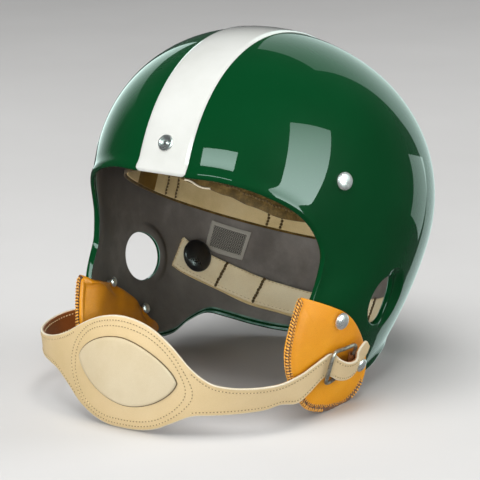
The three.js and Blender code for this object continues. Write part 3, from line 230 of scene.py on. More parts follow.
class Build:
    """Collects points and faces of one mesh, each face with its material's number."""

    def __init__(self):
        self.points, self.faces, self.slots, self.count = [], [], [], 0

    def add(self, points):
        points = np.asarray(points, float)
        start = self.count
        self.points.append(points.reshape(-1, 3))
        self.count += len(self.points[-1])
        return start + np.arange(len(self.points[-1])).reshape(points.shape[:-1])

    def face(self, corners, slot=0):
        corners = np.asarray(corners)
        self.slots.extend(np.broadcast_to(slot, corners.shape[:-1]).ravel().tolist())
        self.faces.extend(corners.reshape(-1, corners.shape[-1]).tolist())

    def grid(self, ids, around=False, flip=False, slot=0):
        """Quads between the rows of ids; around closes each row on itself."""
        a = np.concatenate([ids, ids[:, :1]], axis=1) if around else ids
        quads = np.stack([a[:-1, :-1], a[:-1, 1:], a[1:, 1:], a[1:, :-1]], axis=-1)
        self.face(quads[..., ::-1] if flip else quads, slot)

    def done(self, name, materials, sharp=None):
        mesh = bpy.data.meshes.new(name)
        points = (np.concatenate(self.points) + ORIGIN) * MM
        mesh.from_pydata(points.tolist(), [], self.faces)
        for material in materials:
            mesh.materials.append(material)
        mesh.polygons.foreach_set("material_index", self.slots)
        mesh.polygons.foreach_set("use_smooth", [True] * len(self.faces))
        mesh.update()
        if volume_of(mesh) < 0:
            mesh.flip_normals()
        if sharp:
            mesh.set_sharp_from_angle(angle=math.radians(sharp))
        obj = bpy.data.objects.new(name, mesh)
        bpy.context.scene.collection.objects.link(obj)
        return obj


def volume_of(mesh):
    mesh.calc_loop_triangles()
    points = np.empty(len(mesh.vertices) * 3)
    mesh.vertices.foreach_get("co", points)
    points = points.reshape(-1, 3)
    corners = np.empty(len(mesh.loop_triangles) * 3, dtype=int)
    mesh.loop_triangles.foreach_get("vertices", corners)
    a, b, c = (points[corners.reshape(-1, 3)[:, k]] for k in range(3))
    return np.einsum("ij,ij->i", a, np.cross(b, c)).sum()


def dress(obj, slot, *nodes, body="root"):
    """The piece stands for its CAD nodes, hidden, and rides on the body; slot is not used."""
    if nodes:
        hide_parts(*nodes)
    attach(obj, body)
    return obj


def loft(build, sections, slot=0, ends=True):
    """A closed body from rings of points (sections, around, 3), with fanned ends."""
    ids = build.add(sections)
    build.grid(ids, around=True, slot=slot)
    if ends:
        for row, flip in ((0, True), (-1, False)):
            hub = build.add(sections[row].mean(axis=0)[None])[0]
            ring = ids[row]
            fan = np.stack([ring, np.roll(ring, -1), np.full_like(ring, hub)], axis=-1)
            build.face(fan[:, ::-1] if flip else fan, np.min(slot))
    return ids


def turned(build, profile, place, segments=48, slot=0):
    """A lathed body; profile rows are radius and height along the frame's z."""
    origin, x, y, z = place
    angle = np.arange(segments) * 2 * math.pi / segments
    rings = []
    for radius, height in profile:
        rings.append(origin + z * height + radius * (np.cos(angle)[:, None] * x + np.sin(angle)[:, None] * y))
    loft(build, np.array(rings), slot)


def bead_ring(count):
    return np.arange(count) * 2 * math.pi / count


def stitches(build, points, along, out, length, width, height, slot=0, sides=6):
    """Small spindle-shaped stitches lying on a surface, left out where they would meet the floor."""
    along, out = unit(np.asarray(along)), unit(np.asarray(out))
    across = unit(np.cross(out, along))
    out = np.cross(along, across)
    stations = np.array([-1.0, -0.8, -0.35, 0.35, 0.8, 1.0])
    swell = np.array([0.12, 0.72, 1.0, 1.0, 0.72, 0.12])
    lift = np.array([-0.5, 0.0, 0.28, 0.28, 0.0, -0.5])
    angle = bead_ring(sides)
    for p, a, c, o in zip(np.asarray(points), along, across, out):
        if p[2] < abs(a[2]) * length / 2 + height:
            continue
        rings = [
            p + a * (length / 2 * s) + o * (height * l)
            + (np.cos(angle)[:, None] * c * (width / 2) + np.sin(angle)[:, None] * o * (height / 2)) * w
            for s, w, l in zip(stations, swell, lift)
        ]
        loft(build, np.array(rings), slot)


def spaced(points, normals, pitch, closed=False):
    """Places along a polyline at even steps, with tangents and normals."""
    points = np.asarray(points)
    if closed:
        points = np.vstack([points, points[:1]])
        normals = np.vstack([normals, normals[:1]])
    length = np.concatenate([[0], np.cumsum(np.linalg.norm(np.diff(points, axis=0), axis=1))])
    count = max(2, int(round(length[-1] / pitch)))
    at = (np.arange(count) + 0.5) * length[-1] / count
    where = np.column_stack([np.interp(at, length, points[:, k]) for k in range(3)])
    ahead = np.column_stack([np.interp(at + 0.4, length, points[:, k]) for k in range(3)])
    behind = np.column_stack([np.interp(at - 0.4, length, points[:, k]) for k in range(3)])
    out = np.column_stack([np.interp(at, length, normals[:, k]) for k in range(3)])
    return where, ahead - behind, out


# Materials


def material(name, color, roughness, metallic=0.0, **sockets):
    mat = bpy.data.materials.new(name)
    mat.use_nodes = True
    shader = mat.node_tree.nodes["Principled BSDF"]
    shader.inputs["Base Color"].default_value = (*color, 1)
    shader.inputs["Roughness"].default_value = roughness
    shader.inputs["Metallic"].default_value = metallic
    for key, value in sockets.items():
        shader.inputs[key.replace("_", " ")].default_value = value
    return mat


def node(mat, kind, **settings):
    made = mat.node_tree.nodes.new(kind)
    for key, value in settings.items():
        if key in made.inputs:
            made.inputs[key].default_value = value
        else:
            setattr(made, key, value)
    return made


def link(mat, a, out, b, into):
    mat.node_tree.links.new(a.outputs[out], b.inputs[into])


def placed(mat, scale=(1, 1, 1), rotation=(0, 0, 0)):
    """Object coordinates in metres, stretched."""
    coordinates = node(mat, "ShaderNodeTexCoord")
    mapping = node(mat, "ShaderNodeMapping")
    mapping.inputs["Scale"].default_value = scale
    mapping.inputs["Rotation"].default_value = rotation
    link(mat, coordinates, "Object", mapping, "Vector")
    return mapping


def noise(mat, scale, detail=4.0, roughness=0.55, stretch=(1, 1, 1), distortion=0.0, rotation=(0, 0, 0)):
    made = node(mat, "ShaderNodeTexNoise")
    made.inputs["Scale"].default_value = scale
    made.inputs["Detail"].default_value = detail
    made.inputs["Roughness"].default_value = roughness
    made.inputs["Distortion"].default_value = distortion
    link(mat, placed(mat, stretch, rotation), "Vector", made, "Vector")
    return made


def ramp(mat, source, out, stops):
    made = node(mat, "ShaderNodeValToRGB")
    elements = made.color_ramp.elements
    while len(elements) < len(stops):
        elements.new(0.5)
    for element, (place, color) in zip(elements, stops):
        element.position = place
        element.color = (*color, 1) if len(color) == 3 else color
    link(mat, source, out, made, "Fac")
    return made


def tone(value):
    return (value, value, value)


def mixed(mat, a, b, factor, kind="MIX"):
    """Mixes two colour sources, each a (node, output) pair or a colour."""
    made = node(mat, "ShaderNodeMix", data_type="RGBA", blend_type=kind)
    for source, into in ((a, 6), (b, 7), (factor, 0)):
        if isinstance(source, tuple) and isinstance(source[0], bpy.types.Node):
            mat.node_tree.links.new(source[0].outputs[source[1]], made.inputs[into])
        elif into == 0:
            made.inputs[0].default_value = source
        else:
            made.inputs[into].default_value = (*source, 1)
    return made


def color_of(mat, source, out="Color"):
    shader = mat.node_tree.nodes["Principled BSDF"]
    mat.node_tree.links.new(source.outputs[out], shader.inputs["Base Color"])


def roughness_of(mat, source, out="Color"):
    shader = mat.node_tree.nodes["Principled BSDF"]
    mat.node_tree.links.new(source.outputs[out], shader.inputs["Roughness"])


def bump_of(mat, layers):
    """Stacks bumps: (node, output, strength, distance in metres)."""
    shader = mat.node_tree.nodes["Principled BSDF"]
    last = None
    for source, out, strength, distance in layers:
        made = node(mat, "ShaderNodeBump")
        made.inputs["Strength"].default_value = strength
        made.inputs["Distance"].default_value = distance
        mat.node_tree.links.new(source.outputs[out], made.inputs["Height"])
        if last:
            link(mat, last, "Normal", made, "Normal")
        last = made
    link(mat, last, "Normal", shader, "Normal")


def make_gloss_green():
    mat = material("gloss_green", (0.0004, 0.048, 0.012), 0.5, Coat_Weight=1.0, Coat_Roughness=0.02, Coat_IOR=1.32,
                   Specular_IOR_Level=0.03)
    cloud = noise(mat, 9, 3)
    tint = ramp(mat, cloud, "Fac", [(0.35, (0.0002, 0.0375, 0.0088)), (0.7, (0.0006, 0.0475, 0.0122))])
    fleck = noise(mat, 900, 2)
    dust = ramp(mat, fleck, "Fac", [(0.69, tone(0)), (0.78, tone(0.04))])
    worn = mixed(mat, (tint, "Color"), (0.25, 0.36, 0.3), (dust, "Color"))
    color_of(mat, worn, "Result")
    scratch = noise(mat, 60, 5, 0.7, (1, 14, 2), 0.6, (0.3, 0.5, 0.2))
    roughness_of(mat, ramp(mat, scratch, "Fac", [(0.3, tone(0.42)), (0.8, tone(0.6))]))
    wave = noise(mat, 14, 1)
    bump_of(mat, [(wave, "Fac", 0.04, 0.004), (noise(mat, 220, 2), "Fac", 0.02, 0.0004)])
    return mat


def make_inner_paint():
    mat = material("inner_paint", (0.07, 0.065, 0.058), 0.72)
    cloud = noise(mat, 14, 6, 0.6)
    tint = ramp(mat, cloud, "Fac", [(0.30, (0.08, 0.072, 0.063)), (0.5, (0.155, 0.142, 0.126)), (0.68, (0.31, 0.29, 0.262))])
    streak = noise(mat, 70, 4, 0.65, (1, 1, 0.25))
    veil = ramp(mat, streak, "Fac", [(0.35, tone(0)), (0.8, tone(0.35))])
    worn = mixed(mat, (tint, "Color"), (0.17, 0.16, 0.15), (veil, "Color"))
    color_of(mat, worn, "Result")
    roughness_of(mat, ramp(mat, cloud, "Fac", [(0.3, tone(0.62)), (0.8, tone(0.85))]))
    bump_of(mat, [(cloud, "Fac", 0.25, 0.002), (noise(mat, 420, 5, 0.7), "Fac", 0.35, 0.0006)])
    return mat


# A pale green painted highlight, standing in for the gloss on the rounded inner edge of the lip and of the ear holes.
def make_painted_rim_highlight():
    mat = material("painted_rim_highlight", (0.12, 0.30, 0.23), 0.3, Coat_Weight=0.6, Coat_Roughness=0.1)
    cloud = noise(mat, 90, 4)
    color_of(mat, ramp(mat, cloud, "Fac", [(0.35, (0.03, 0.13, 0.09)), (0.7, (0.22, 0.42, 0.34))]))
    bump_of(mat, [(cloud, "Fac", 0.2, 0.0005)])
    return mat


def make_stripe_paint():
    mat = material("stripe_white", (0.86, 0.87, 0.83), 0.2, Coat_Weight=1.0, Coat_Roughness=0.06)
    cloud = noise(mat, 22, 5, 0.6)
    tint = ramp(mat, cloud, "Fac", [(0.32, (0.55, 0.56, 0.525)), (0.6, (0.60, 0.61, 0.58)), (0.8, (0.625, 0.635, 0.605))])
    speck = noise(mat, 600, 3)
    dirt = ramp(mat, speck, "Fac", [(0.66, tone(0)), (0.80, tone(0.25))])
    color_of(mat, mixed(mat, (tint, "Color"), (0.5, 0.47, 0.38), (dirt, "Color")), "Result")
    wrinkle = noise(mat, 26, 3, 0.5, (1, 1, 0.35), 0.5)
    bump_of(mat, [(wrinkle, "Fac", 0.10, 0.002), (noise(mat, 300, 3), "Fac", 0.06, 0.0003)])
    return mat


def make_nickel(name="worn_nickel", dirt=0.35, metallic=0.8):
    mat = material(name, (0.82, 0.82, 0.82), 0.24, metallic, Specular_IOR_Level=0.8)
    cloud = noise(mat, 190, 5, 0.6)
    scratch = noise(mat, 420, 3, 0.6, (1, 0.1, 1), 0.3, (0.6, 0.2, 0.9))
    tint = ramp(mat, cloud, "Fac", [(0.28, (0.62, 0.61, 0.59)), (0.40, (0.84, 0.84, 0.83)), (0.65, (0.93, 0.93, 0.92))])
    color_of(mat, mixed(mat, (tint, "Color"), (0.30, 0.28, 0.25),
                        (ramp(mat, scratch, "Fac", [(0.62, tone(0)), (0.74, tone(dirt))]), "Color")), "Result")
    roughness_of(mat, ramp(mat, cloud, "Fac", [(0.3, tone(0.44)), (0.6, tone(0.26))]))
    bump_of(mat, [(cloud, "Fac", 0.06, 0.0004), (scratch, "Fac", 0.10, 0.0002)])
    return mat


def make_wire():
    mat = material("dull_wire", (0.42, 0.41, 0.39), 0.38, 0.8)
    cloud = noise(mat, 420, 6, 0.7)
    color_of(mat, ramp(mat, cloud, "Fac", [(0.3, (0.15, 0.13, 0.105)), (0.5, (0.36, 0.335, 0.29)), (0.7, (0.60, 0.58, 0.53))]))
    roughness_of(mat, ramp(mat, cloud, "Fac", [(0.3, tone(0.6)), (0.65, tone(0.3))]))
    bump_of(mat, [(cloud, "Fac", 0.25, 0.0004)])
    return mat


def make_leather(name, dark, middle, light, grain=1.0, gloss=0.42, mottle=18, coat=0.12, fleck=1.0):
    """Leather: cell-like grain under a fine pore noise, in clouds of tone."""
    mat = material(name, middle, gloss, Coat_Weight=coat, Coat_Roughness=0.3, Specular_IOR_Level=0.3)
    cloud = noise(mat, mottle, 6, 0.6)
    tint = ramp(mat, cloud, "Fac", [(0.28, dark), (0.5, middle), (0.74, light)])
    cells = node(mat, "ShaderNodeTexVoronoi", feature="DISTANCE_TO_EDGE")
    cells.inputs["Scale"].default_value = 1150
    cells.inputs["Randomness"].default_value = 1.0
    link(mat, placed(mat, (1, 1, 1.15)), "Vector", cells, "Vector")
    crease = ramp(mat, cells, "Distance", [(0.0, tone(0)), (0.12, tone(0.75)), (0.4, tone(1))])
    edge = 1 - 0.2 * fleck
    shade = mixed(mat, (tint, "Color"), (edge, edge, edge), 1.0, "MULTIPLY")
    shade = mixed(mat, (shade, "Result"), (tint, "Color"), (crease, "Color"))
    pores = noise(mat, 1600, 3, 0.7)
    spot = ramp(mat, pores, "Fac", [(0.3, tone(0.25 * fleck)), (0.45, tone(0))])
    color_of(mat, mixed(mat, (shade, "Result"), tuple(c * 0.55 for c in dark), (spot, "Color")), "Result")
    rub = noise(mat, 40, 4)
    roughness_of(mat, ramp(mat, rub, "Fac", [(0.3, tone(gloss - 0.08)), (0.7, tone(gloss + 0.14))]))
    bump_of(mat, [
        (noise(mat, 90, 4, 0.5), "Fac", 0.18 * grain, 0.0015),
        (crease, "Color", 0.22 * grain, 0.00022),
        (pores, "Fac", 0.15 * grain, 0.0002),
    ])
    return mat


def make_suede(name, dark, middle, light):
    mat = material(name, middle, 0.88, Sheen_Weight=0.08, Sheen_Roughness=0.5)
    nap = noise(mat, 750, 6, 0.75)
    cloud = noise(mat, 150, 6, 0.7)
    a = ramp(mat, cloud, "Fac", [(0.34, dark), (0.5, middle), (0.64, light)])
    color_of(mat, mixed(mat, (a, "Color"), tuple(c * 0.6 for c in dark),
                        (ramp(mat, nap, "Fac", [(0.36, tone(0.4)), (0.55, tone(0))]), "Color")), "Result")
    bump_of(mat, [(nap, "Fac", 0.5, 0.0005), (noise(mat, 120, 4), "Fac", 0.3, 0.001)])
    return mat


def make_weave(name, dark, light, pitch, strength=0.5, rough=0.9):
    """Plain weave: two crossed waves in object space under fibre noise."""
    mat = material(name, light, rough, Sheen_Weight=0.2)
    warp = node(mat, "ShaderNodeTexWave", wave_type="BANDS", bands_direction="DIAGONAL", wave_profile="SIN")
    weft = node(mat, "ShaderNodeTexWave", wave_type="BANDS", bands_direction="Z", wave_profile="SIN")
    for wave in (warp, weft):
        wave.inputs["Scale"].default_value = 1 / pitch * 0.314 * 1000
        wave.inputs["Distortion"].default_value = 0.6
        wave.inputs["Detail"].default_value = 1
    link(mat, placed(mat, (1, 1, 0)), "Vector", warp, "Vector")
    link(mat, placed(mat), "Vector", weft, "Vector")
    cross = mixed(mat, (warp, "Color"), (weft, "Color"), 1.0, "MULTIPLY")
    fibre = noise(mat, 900, 5, 0.7)
    color_of(mat, mixed(mat, (ramp(mat, cross, "Result", [(0.0, dark), (0.6, light)]), "Color"), dark,
                        (ramp(mat, fibre, "Fac", [(0.35, tone(0.35)), (0.6, tone(0))]), "Color")), "Result")
    bump_of(mat, [(cross, "Result", strength, 0.0004), (fibre, "Fac", 0.3, 0.0003)])
    return mat


def make_thread(name, color, rough=0.7):
    mat = material(name, color, rough, Sheen_Weight=0.2)
    cloud = noise(mat, 700, 3)
    color_of(mat, ramp(mat, cloud, "Fac", [(0.3, tuple(c * 0.6 for c in color)), (0.65, color)]))
    bump_of(mat, [(noise(mat, 2600, 2), "Fac", 0.5, 0.0002)])
    return mat


def make_black_gloss():
    mat = material("black_gloss", (0.008, 0.008, 0.009), 0.3, Coat_Weight=0.5, Coat_Roughness=0.25)
    cloud = noise(mat, 120, 4)
    color_of(mat, ramp(mat, cloud, "Fac", [(0.35, (0.006, 0.006, 0.007)), (0.7, (0.016, 0.015, 0.014))]))
    roughness_of(mat, ramp(mat, cloud, "Fac", [(0.3, tone(0.25)), (0.75, tone(0.4))]))
    bump_of(mat, [(cloud, "Fac", 0.05, 0.0005)])
    return mat


GREEN = make_gloss_green()
PAINT = make_inner_paint()
RIM_HIGHLIGHT = make_painted_rim_highlight()
WHITE = make_stripe_paint()
NICKEL = make_nickel()
SNAP_NICKEL = make_nickel("snap_nickel", 0.5, 0.97)
WIRE = make_wire()
TAN = make_leather("tan_leather", (0.655, 0.224, 0.003), (0.775, 0.297, 0.005), (0.84, 0.368, 0.014), 0.7, 0.4, 14, 0.04, 0.5)
CREAM = make_leather("cream_leather", (0.57, 0.43, 0.22), (0.63, 0.48, 0.266), (0.672, 0.532, 0.317), 0.6, 0.5, 12, 0.02, 0.35)
PANEL = make_leather("panel_leather", (0.52, 0.424, 0.26), (0.568, 0.475, 0.312), (0.615, 0.53, 0.368), 0.3, 0.4, 22, 0.06, 0.3)
EDGE_CREAM = make_leather("edge_leather", (0.62, 0.54, 0.38), (0.68, 0.61, 0.46), (0.74, 0.68, 0.54), 0.6, 0.6, 30, 0.0)
BAND = make_leather("band_leather", (0.56, 0.43, 0.20), (0.72, 0.57, 0.30), (0.80, 0.66, 0.39), 1.0, 0.6, 22, 0.0, 0.5)
PATCH = make_leather("brown_patch", (0.13, 0.07, 0.012), (0.20, 0.11, 0.02), (0.27, 0.16, 0.035), 1.0, 0.6, 30, 0.0)
NAPE = make_leather("nape_leather", (0.80, 0.66, 0.39), (0.92, 0.80, 0.53), (0.95, 0.87, 0.62), 0.6, 0.62, 20, 0.0, 0.4)
BROWN = make_leather("lining_leather", (0.17, 0.055, 0.014), (0.27, 0.095, 0.026), (0.37, 0.15, 0.045), 0.9, 0.5, 22, 0.05)
SUEDE = make_suede("brown_suede", (0.06, 0.036, 0.008), (0.102, 0.062, 0.014), (0.17, 0.108, 0.031))
COTTON = make_weave("cotton_webbing", (0.34, 0.28, 0.18), (0.66, 0.58, 0.42), 0.9)
LABEL = make_weave("label_weave", (0.20, 0.195, 0.17), (0.42, 0.405, 0.355), 0.5, 0.5, 0.7)
LABEL_DARK = make_weave("label_dark", (0.05, 0.05, 0.042), (0.13, 0.125, 0.108), 0.5, 0.5, 0.7)
LABEL_EDGE = make_weave("label_edge", (0.36, 0.35, 0.305), (0.50, 0.48, 0.42), 0.5, 0.3, 0.7)
BLACK = make_black_gloss()
CREAM_THREAD = make_thread("cream_thread", (0.78, 0.62, 0.34))
# Dark brown stitch spots painted as the shade in the needle holes, between the cream stitches.
HOLE_SHADE = make_thread("painted_hole_shade", (0.30, 0.215, 0.10))
BROWN_THREAD = make_thread("brown_thread", (0.125, 0.08, 0.024))
# A dark colour painted as the shade line round the sewn-down oval on the cup.
SEAM_SHADE_LINE = make_thread("painted_seam_shade", (0.15, 0.095, 0.035))
TAN_THREAD = make_thread("tan_thread", (0.92, 0.43, 0.05))
# Near-black brown painted as the shade in the pad's seam groove and needle marks.
GROOVE_SHADE = make_thread("painted_groove_shade", (0.10, 0.032, 0.009))
# Dark brown painted as the shade between the overcast stitches on the pad's binding strip.
STRIP_SHADE = make_thread("painted_strip_shade", (0.15, 0.048, 0.007))


# The shell: columns by length along its edge, drawn up over a ring round the crown to a pole

COLUMNS = 336
CAP_STEPS = 11
LIP_ROWS = CAP_REACH + np.array([0, 0.7, 1.5, 2.5, 3.7, 5.1, 6.8, 8.8, 11.0])
SIDE_ROWS = 36
CROWN_ROWS = 26
POLE = unit(np.array([0, 0.5, 0.866]))
RING_ANGLE = math.radians(62)
PAINT_ROW = 3


def turn_about(v, axis, angle):
    c, s = np.cos(angle)[..., None], np.sin(angle)[..., None]
    return v * c + np.cross(axis, v) * s + axis * (np.sum(axis * v, axis=-1, keepdims=True)) * (1 - c)


def along_arc(start, end, angle):
    axis = unit(np.cross(start, end))
    return turn_about(start, axis, angle)


def shell_columns():
    step = np.linalg.norm(np.roll(edge_points, -1, axis=0) - edge_points, axis=1)
    length = np.concatenate([[0], np.cumsum(step)])
    target = np.arange(COLUMNS) / COLUMNS * length[-1]
    part = np.interp(target, length, np.arange(EDGE_STEPS + 1) / EDGE_STEPS)
    edge, _ = closed_directions(*WHOLE_EDGE.T, part)
    turn = np.arange(COLUMNS) * 2 * math.pi / COLUMNS
    on_ring = turn_about(np.broadcast_to([0, -0.866, 0.5], edge.shape), POLE, turn)
    ring = along_arc(np.broadcast_to(POLE, edge.shape), on_ring, np.full(COLUMNS, RING_ANGLE))
    reach = shell_radius(edge)
    whole = np.arccos(np.sum(edge * ring, axis=1))
    rows = [along_arc(edge, ring, length / reach) for length in LIP_ROWS]
    lip = LIP_ROWS[-1] / reach
    rows += [along_arc(edge, ring, lip + (whole - lip) * i / SIDE_ROWS) for i in range(1, SIDE_ROWS + 1)]
    rows += [
        along_arc(ring, np.broadcast_to(POLE, edge.shape), np.full(COLUMNS, RING_ANGLE * i / (CROWN_ROWS + 1)))
        for i in range(1, CROWN_ROWS + 1)
    ]
    return np.array(rows)


def ear_frame(side):
    origin, x, y, z = shell_frame(EAR, side)
    a = side * math.radians(EAR["turn"])
    x2 = x * math.cos(a) - z * math.sin(a)
    z2 = x * math.sin(a) + z * math.cos(a)
    return origin - z2 * EAR["sink"], x2, y, z2


DISH = np.array([(0, 0), (19.0, 0), (20.2, 0.25), (21.6, 1.0), (23.2, 2.6), (24.8, 5.4), (26.4, 8.8), (28, 13), (60, 90)])
BOSS = np.array([(0, 0), (20, 0), (22.4, 0.7), (24.6, 2.2), (27, 5), (29.4, 10), (60, 90)])


def soft_min(a, b, k):
    h = np.clip(0.5 + 0.5 * (b - a) / k, 0, 1)
    return b * (1 - h) + a * h - k * h * (1 - h)


def level_along(place, u, v, depth):
    """The height along an ear frame's axis at which the plain form is depth deep."""
    origin, x, y, z = place
    w = np.full(u.shape, -depth * 1.0)
    for _ in range(7):
        p = origin + u[..., None] * x + v[..., None] * y + w[..., None] * z
        n = normal_at(p)
        d = unit(p - CENTRE)
        away = beyond(p) * np.sum(n * d, axis=-1)
        w = w - (away + depth) / np.clip(n @ z, 0.2, None)
    return w


def pressed(place, points, inside):
    """Moves points of the shell's face along the ear's axis on to its dish or its boss."""
    origin, x, y, z = place
    v = points - origin
    rho = np.hypot(v @ x, v @ y)
    w = v @ z
    if inside:
        form = np.interp(rho, BOSS[:, 0], BOSS[:, 1]) - EAR["back"]
        target = soft_min(w, form, 1.6)
    else:
        form = np.interp(rho, DISH[:, 0], DISH[:, 1])
        target = soft_min(w, form, 1.1)
    near = 1 - smoothstep(rho, 36, 46)
    target = w + (target - w) * near
    return points + z * (target - w)[..., None]


def ear_patch(build, place, ids, points, inside, slot, flip):
    """A round grid from the rectangle left open in the main grid to the hole's rim."""
    origin, x, y, z = place
    ring = np.concatenate([ids[0, :-1], ids[:-1, -1], ids[-1, :0:-1], ids[:0:-1, 0]])
    edge = np.concatenate([points[0, :-1], points[:-1, -1], points[-1, :0:-1], points[:0:-1, 0]])
    v = edge - origin
    u0, v0 = v @ x, v @ y
    rho0 = np.hypot(u0, v0)
    angle = np.arctan2(v0, u0)
    hole = EAR["hole"]
    soft = 0.5 if inside else 1.0
    radii = [29.6, 28.4, 27.4, 26.4, 25.6, 24.8, 24, 23.2, 22.4, 21.6, 20.8, 20, 19.2, hole + soft]
    rows = []
    for part in (0.75, 0.5, 0.25):
        rows.append(30.8 + (rho0 - 30.8) * part)
    rows += [np.full_like(rho0, r) for r in radii]
    rho = np.array(rows)
    uu, vv = rho * np.cos(angle), rho * np.sin(angle)
    depth = THICKNESS if inside else 0.0
    w = level_along(place, uu, vv, depth)
    plain = origin + uu[..., None] * x + vv[..., None] * y + w[..., None] * z
    grid = pressed(place, plain, inside)
    edge_row = grid[-1]
    down = 1.0 if inside else -1.0
    rounding = []
    for step in (1, 2, 3, 4):
        phi = step / 4 * math.pi / 2
        r = hole + soft * (1 - math.sin(phi))
        base = origin + r * np.cos(angle)[:, None] * x + r * np.sin(angle)[:, None] * y
        height = (edge_row - origin) @ z + down * soft * (1 - math.cos(phi))
        rounding.append(base + height[:, None] * z)
    grid = np.concatenate([grid, np.array(rounding)])
    new = build.add(grid)
    whole = np.concatenate([ring[None], new])
    build.grid(whole[:-3], around=True, flip=flip, slot=slot)
    # the last rows round the hole's rim take the painted highlight
    build.grid(whole[-4:], around=True, flip=flip, slot=2 if inside else 0)
    return whole[-1]


def make_shell():
    build = Build()
    rows = shell_columns()
    beaded = np.zeros(len(rows))
    beaded[:len(LIP_ROWS)] = rounding(LIP_ROWS)
    outer = on_shell(rows, -beaded[:, None] * np.ones(COLUMNS))
    inner = on_shell(rows, -THICKNESS + 0.25 * beaded[:, None] * np.ones(COLUMNS))
    frames = {side: ear_frame(side) for _, side in SIDES}
    windows = {}
    for side, place in frames.items():
        v = outer - place[0]
        near = (np.linalg.norm(np.cross(v, place[3]), axis=-1) < 32) & (np.sum(v * place[3], axis=-1) > -30)
        r, c = np.where(near)
        windows[side] = (r.min() - 1, r.max() + 1, c.min() - 1, c.max() + 1)
        outer, inner = pressed(place, outer, False), pressed(place, inner, True)
    out_ids, in_ids = build.add(outer), build.add(inner)
    keep = np.ones((len(rows) - 1, COLUMNS), bool)
    for r0, r1, c0, c1 in windows.values():
        keep[r0:r1, c0:c1] = False
    for ids, flip in ((out_ids, False), (in_ids, True)):
        a = np.concatenate([ids, ids[:, :1]], axis=1)
        quads = np.stack([a[:-1, :-1], a[:-1, 1:], a[1:, 1:], a[1:, :-1]], axis=-1)
        if flip:
            quads = quads[..., ::-1]
            build.face(quads[:PAINT_ROW - 1][keep[:PAINT_ROW - 1]], 0)
            # the row next to the inner edge takes the painted highlight
            build.face(quads[PAINT_ROW - 1:PAINT_ROW][keep[PAINT_ROW - 1:PAINT_ROW]], 2)
            build.face(quads[PAINT_ROW:][keep[PAINT_ROW:]], 1)
        else:
            build.face(quads[keep], 0)
    for side, (r0, r1, c0, c1) in windows.items():
        rims = []
        for ids, points, inside, slot, flip in (
            (out_ids, outer, False, 0, False),
            (in_ids, inner, True, 1, True),
        ):
            part = (slice(r0, r1 + 1), slice(c0, c1 + 1))
            rims.append(ear_patch(build, frames[side], ids[part], points[part], inside, slot, flip))
        build.grid(np.array(rims), around=True, flip=False, slot=0)
    # the rounded edge
    middle = (outer[0] + inner[0]) / 2
    half = (outer[0] - inner[0]) / 2
    away = unit(outer[0] - outer[1])
    cap = []
    for i in range(1, CAP_STEPS):
        phi = math.pi * i / CAP_STEPS
        c, s = math.cos(phi), math.sin(phi)
        cap.append(middle + half * (math.copysign(abs(c) ** 0.6, c)) + away * CAP_REACH * abs(s) ** 0.55)
    cap_ids = build.add(np.array(cap))
    cap_rows = np.concatenate([out_ids[:1], cap_ids, in_ids[:1]])
    build.grid(cap_rows[:-3], around=True, flip=True, slot=0)
    # the inner corner of the rounded edge takes the painted highlight
    build.grid(cap_rows[-4:], around=True, flip=True, slot=2)
    # the poles
    for ids, offset, flip in ((out_ids, 0.0, False), (in_ids, -THICKNESS, True)):
        hub = build.add(on_shell(POLE[None], offset))[0]
        fan = np.stack([ids[-1], np.roll(ids[-1], -1), np.full(COLUMNS, hub)], axis=-1)
        build.face(fan[:, ::-1] if flip else fan, 1 if flip else 0)
    obj = build.done("helmet_shell", [GREEN, PAINT, RIM_HIGHLIGHT])
    return dress(obj, "shell", "shell")


make_shell()


# The centre stripe

STRIPE_WIDTH = 38.0


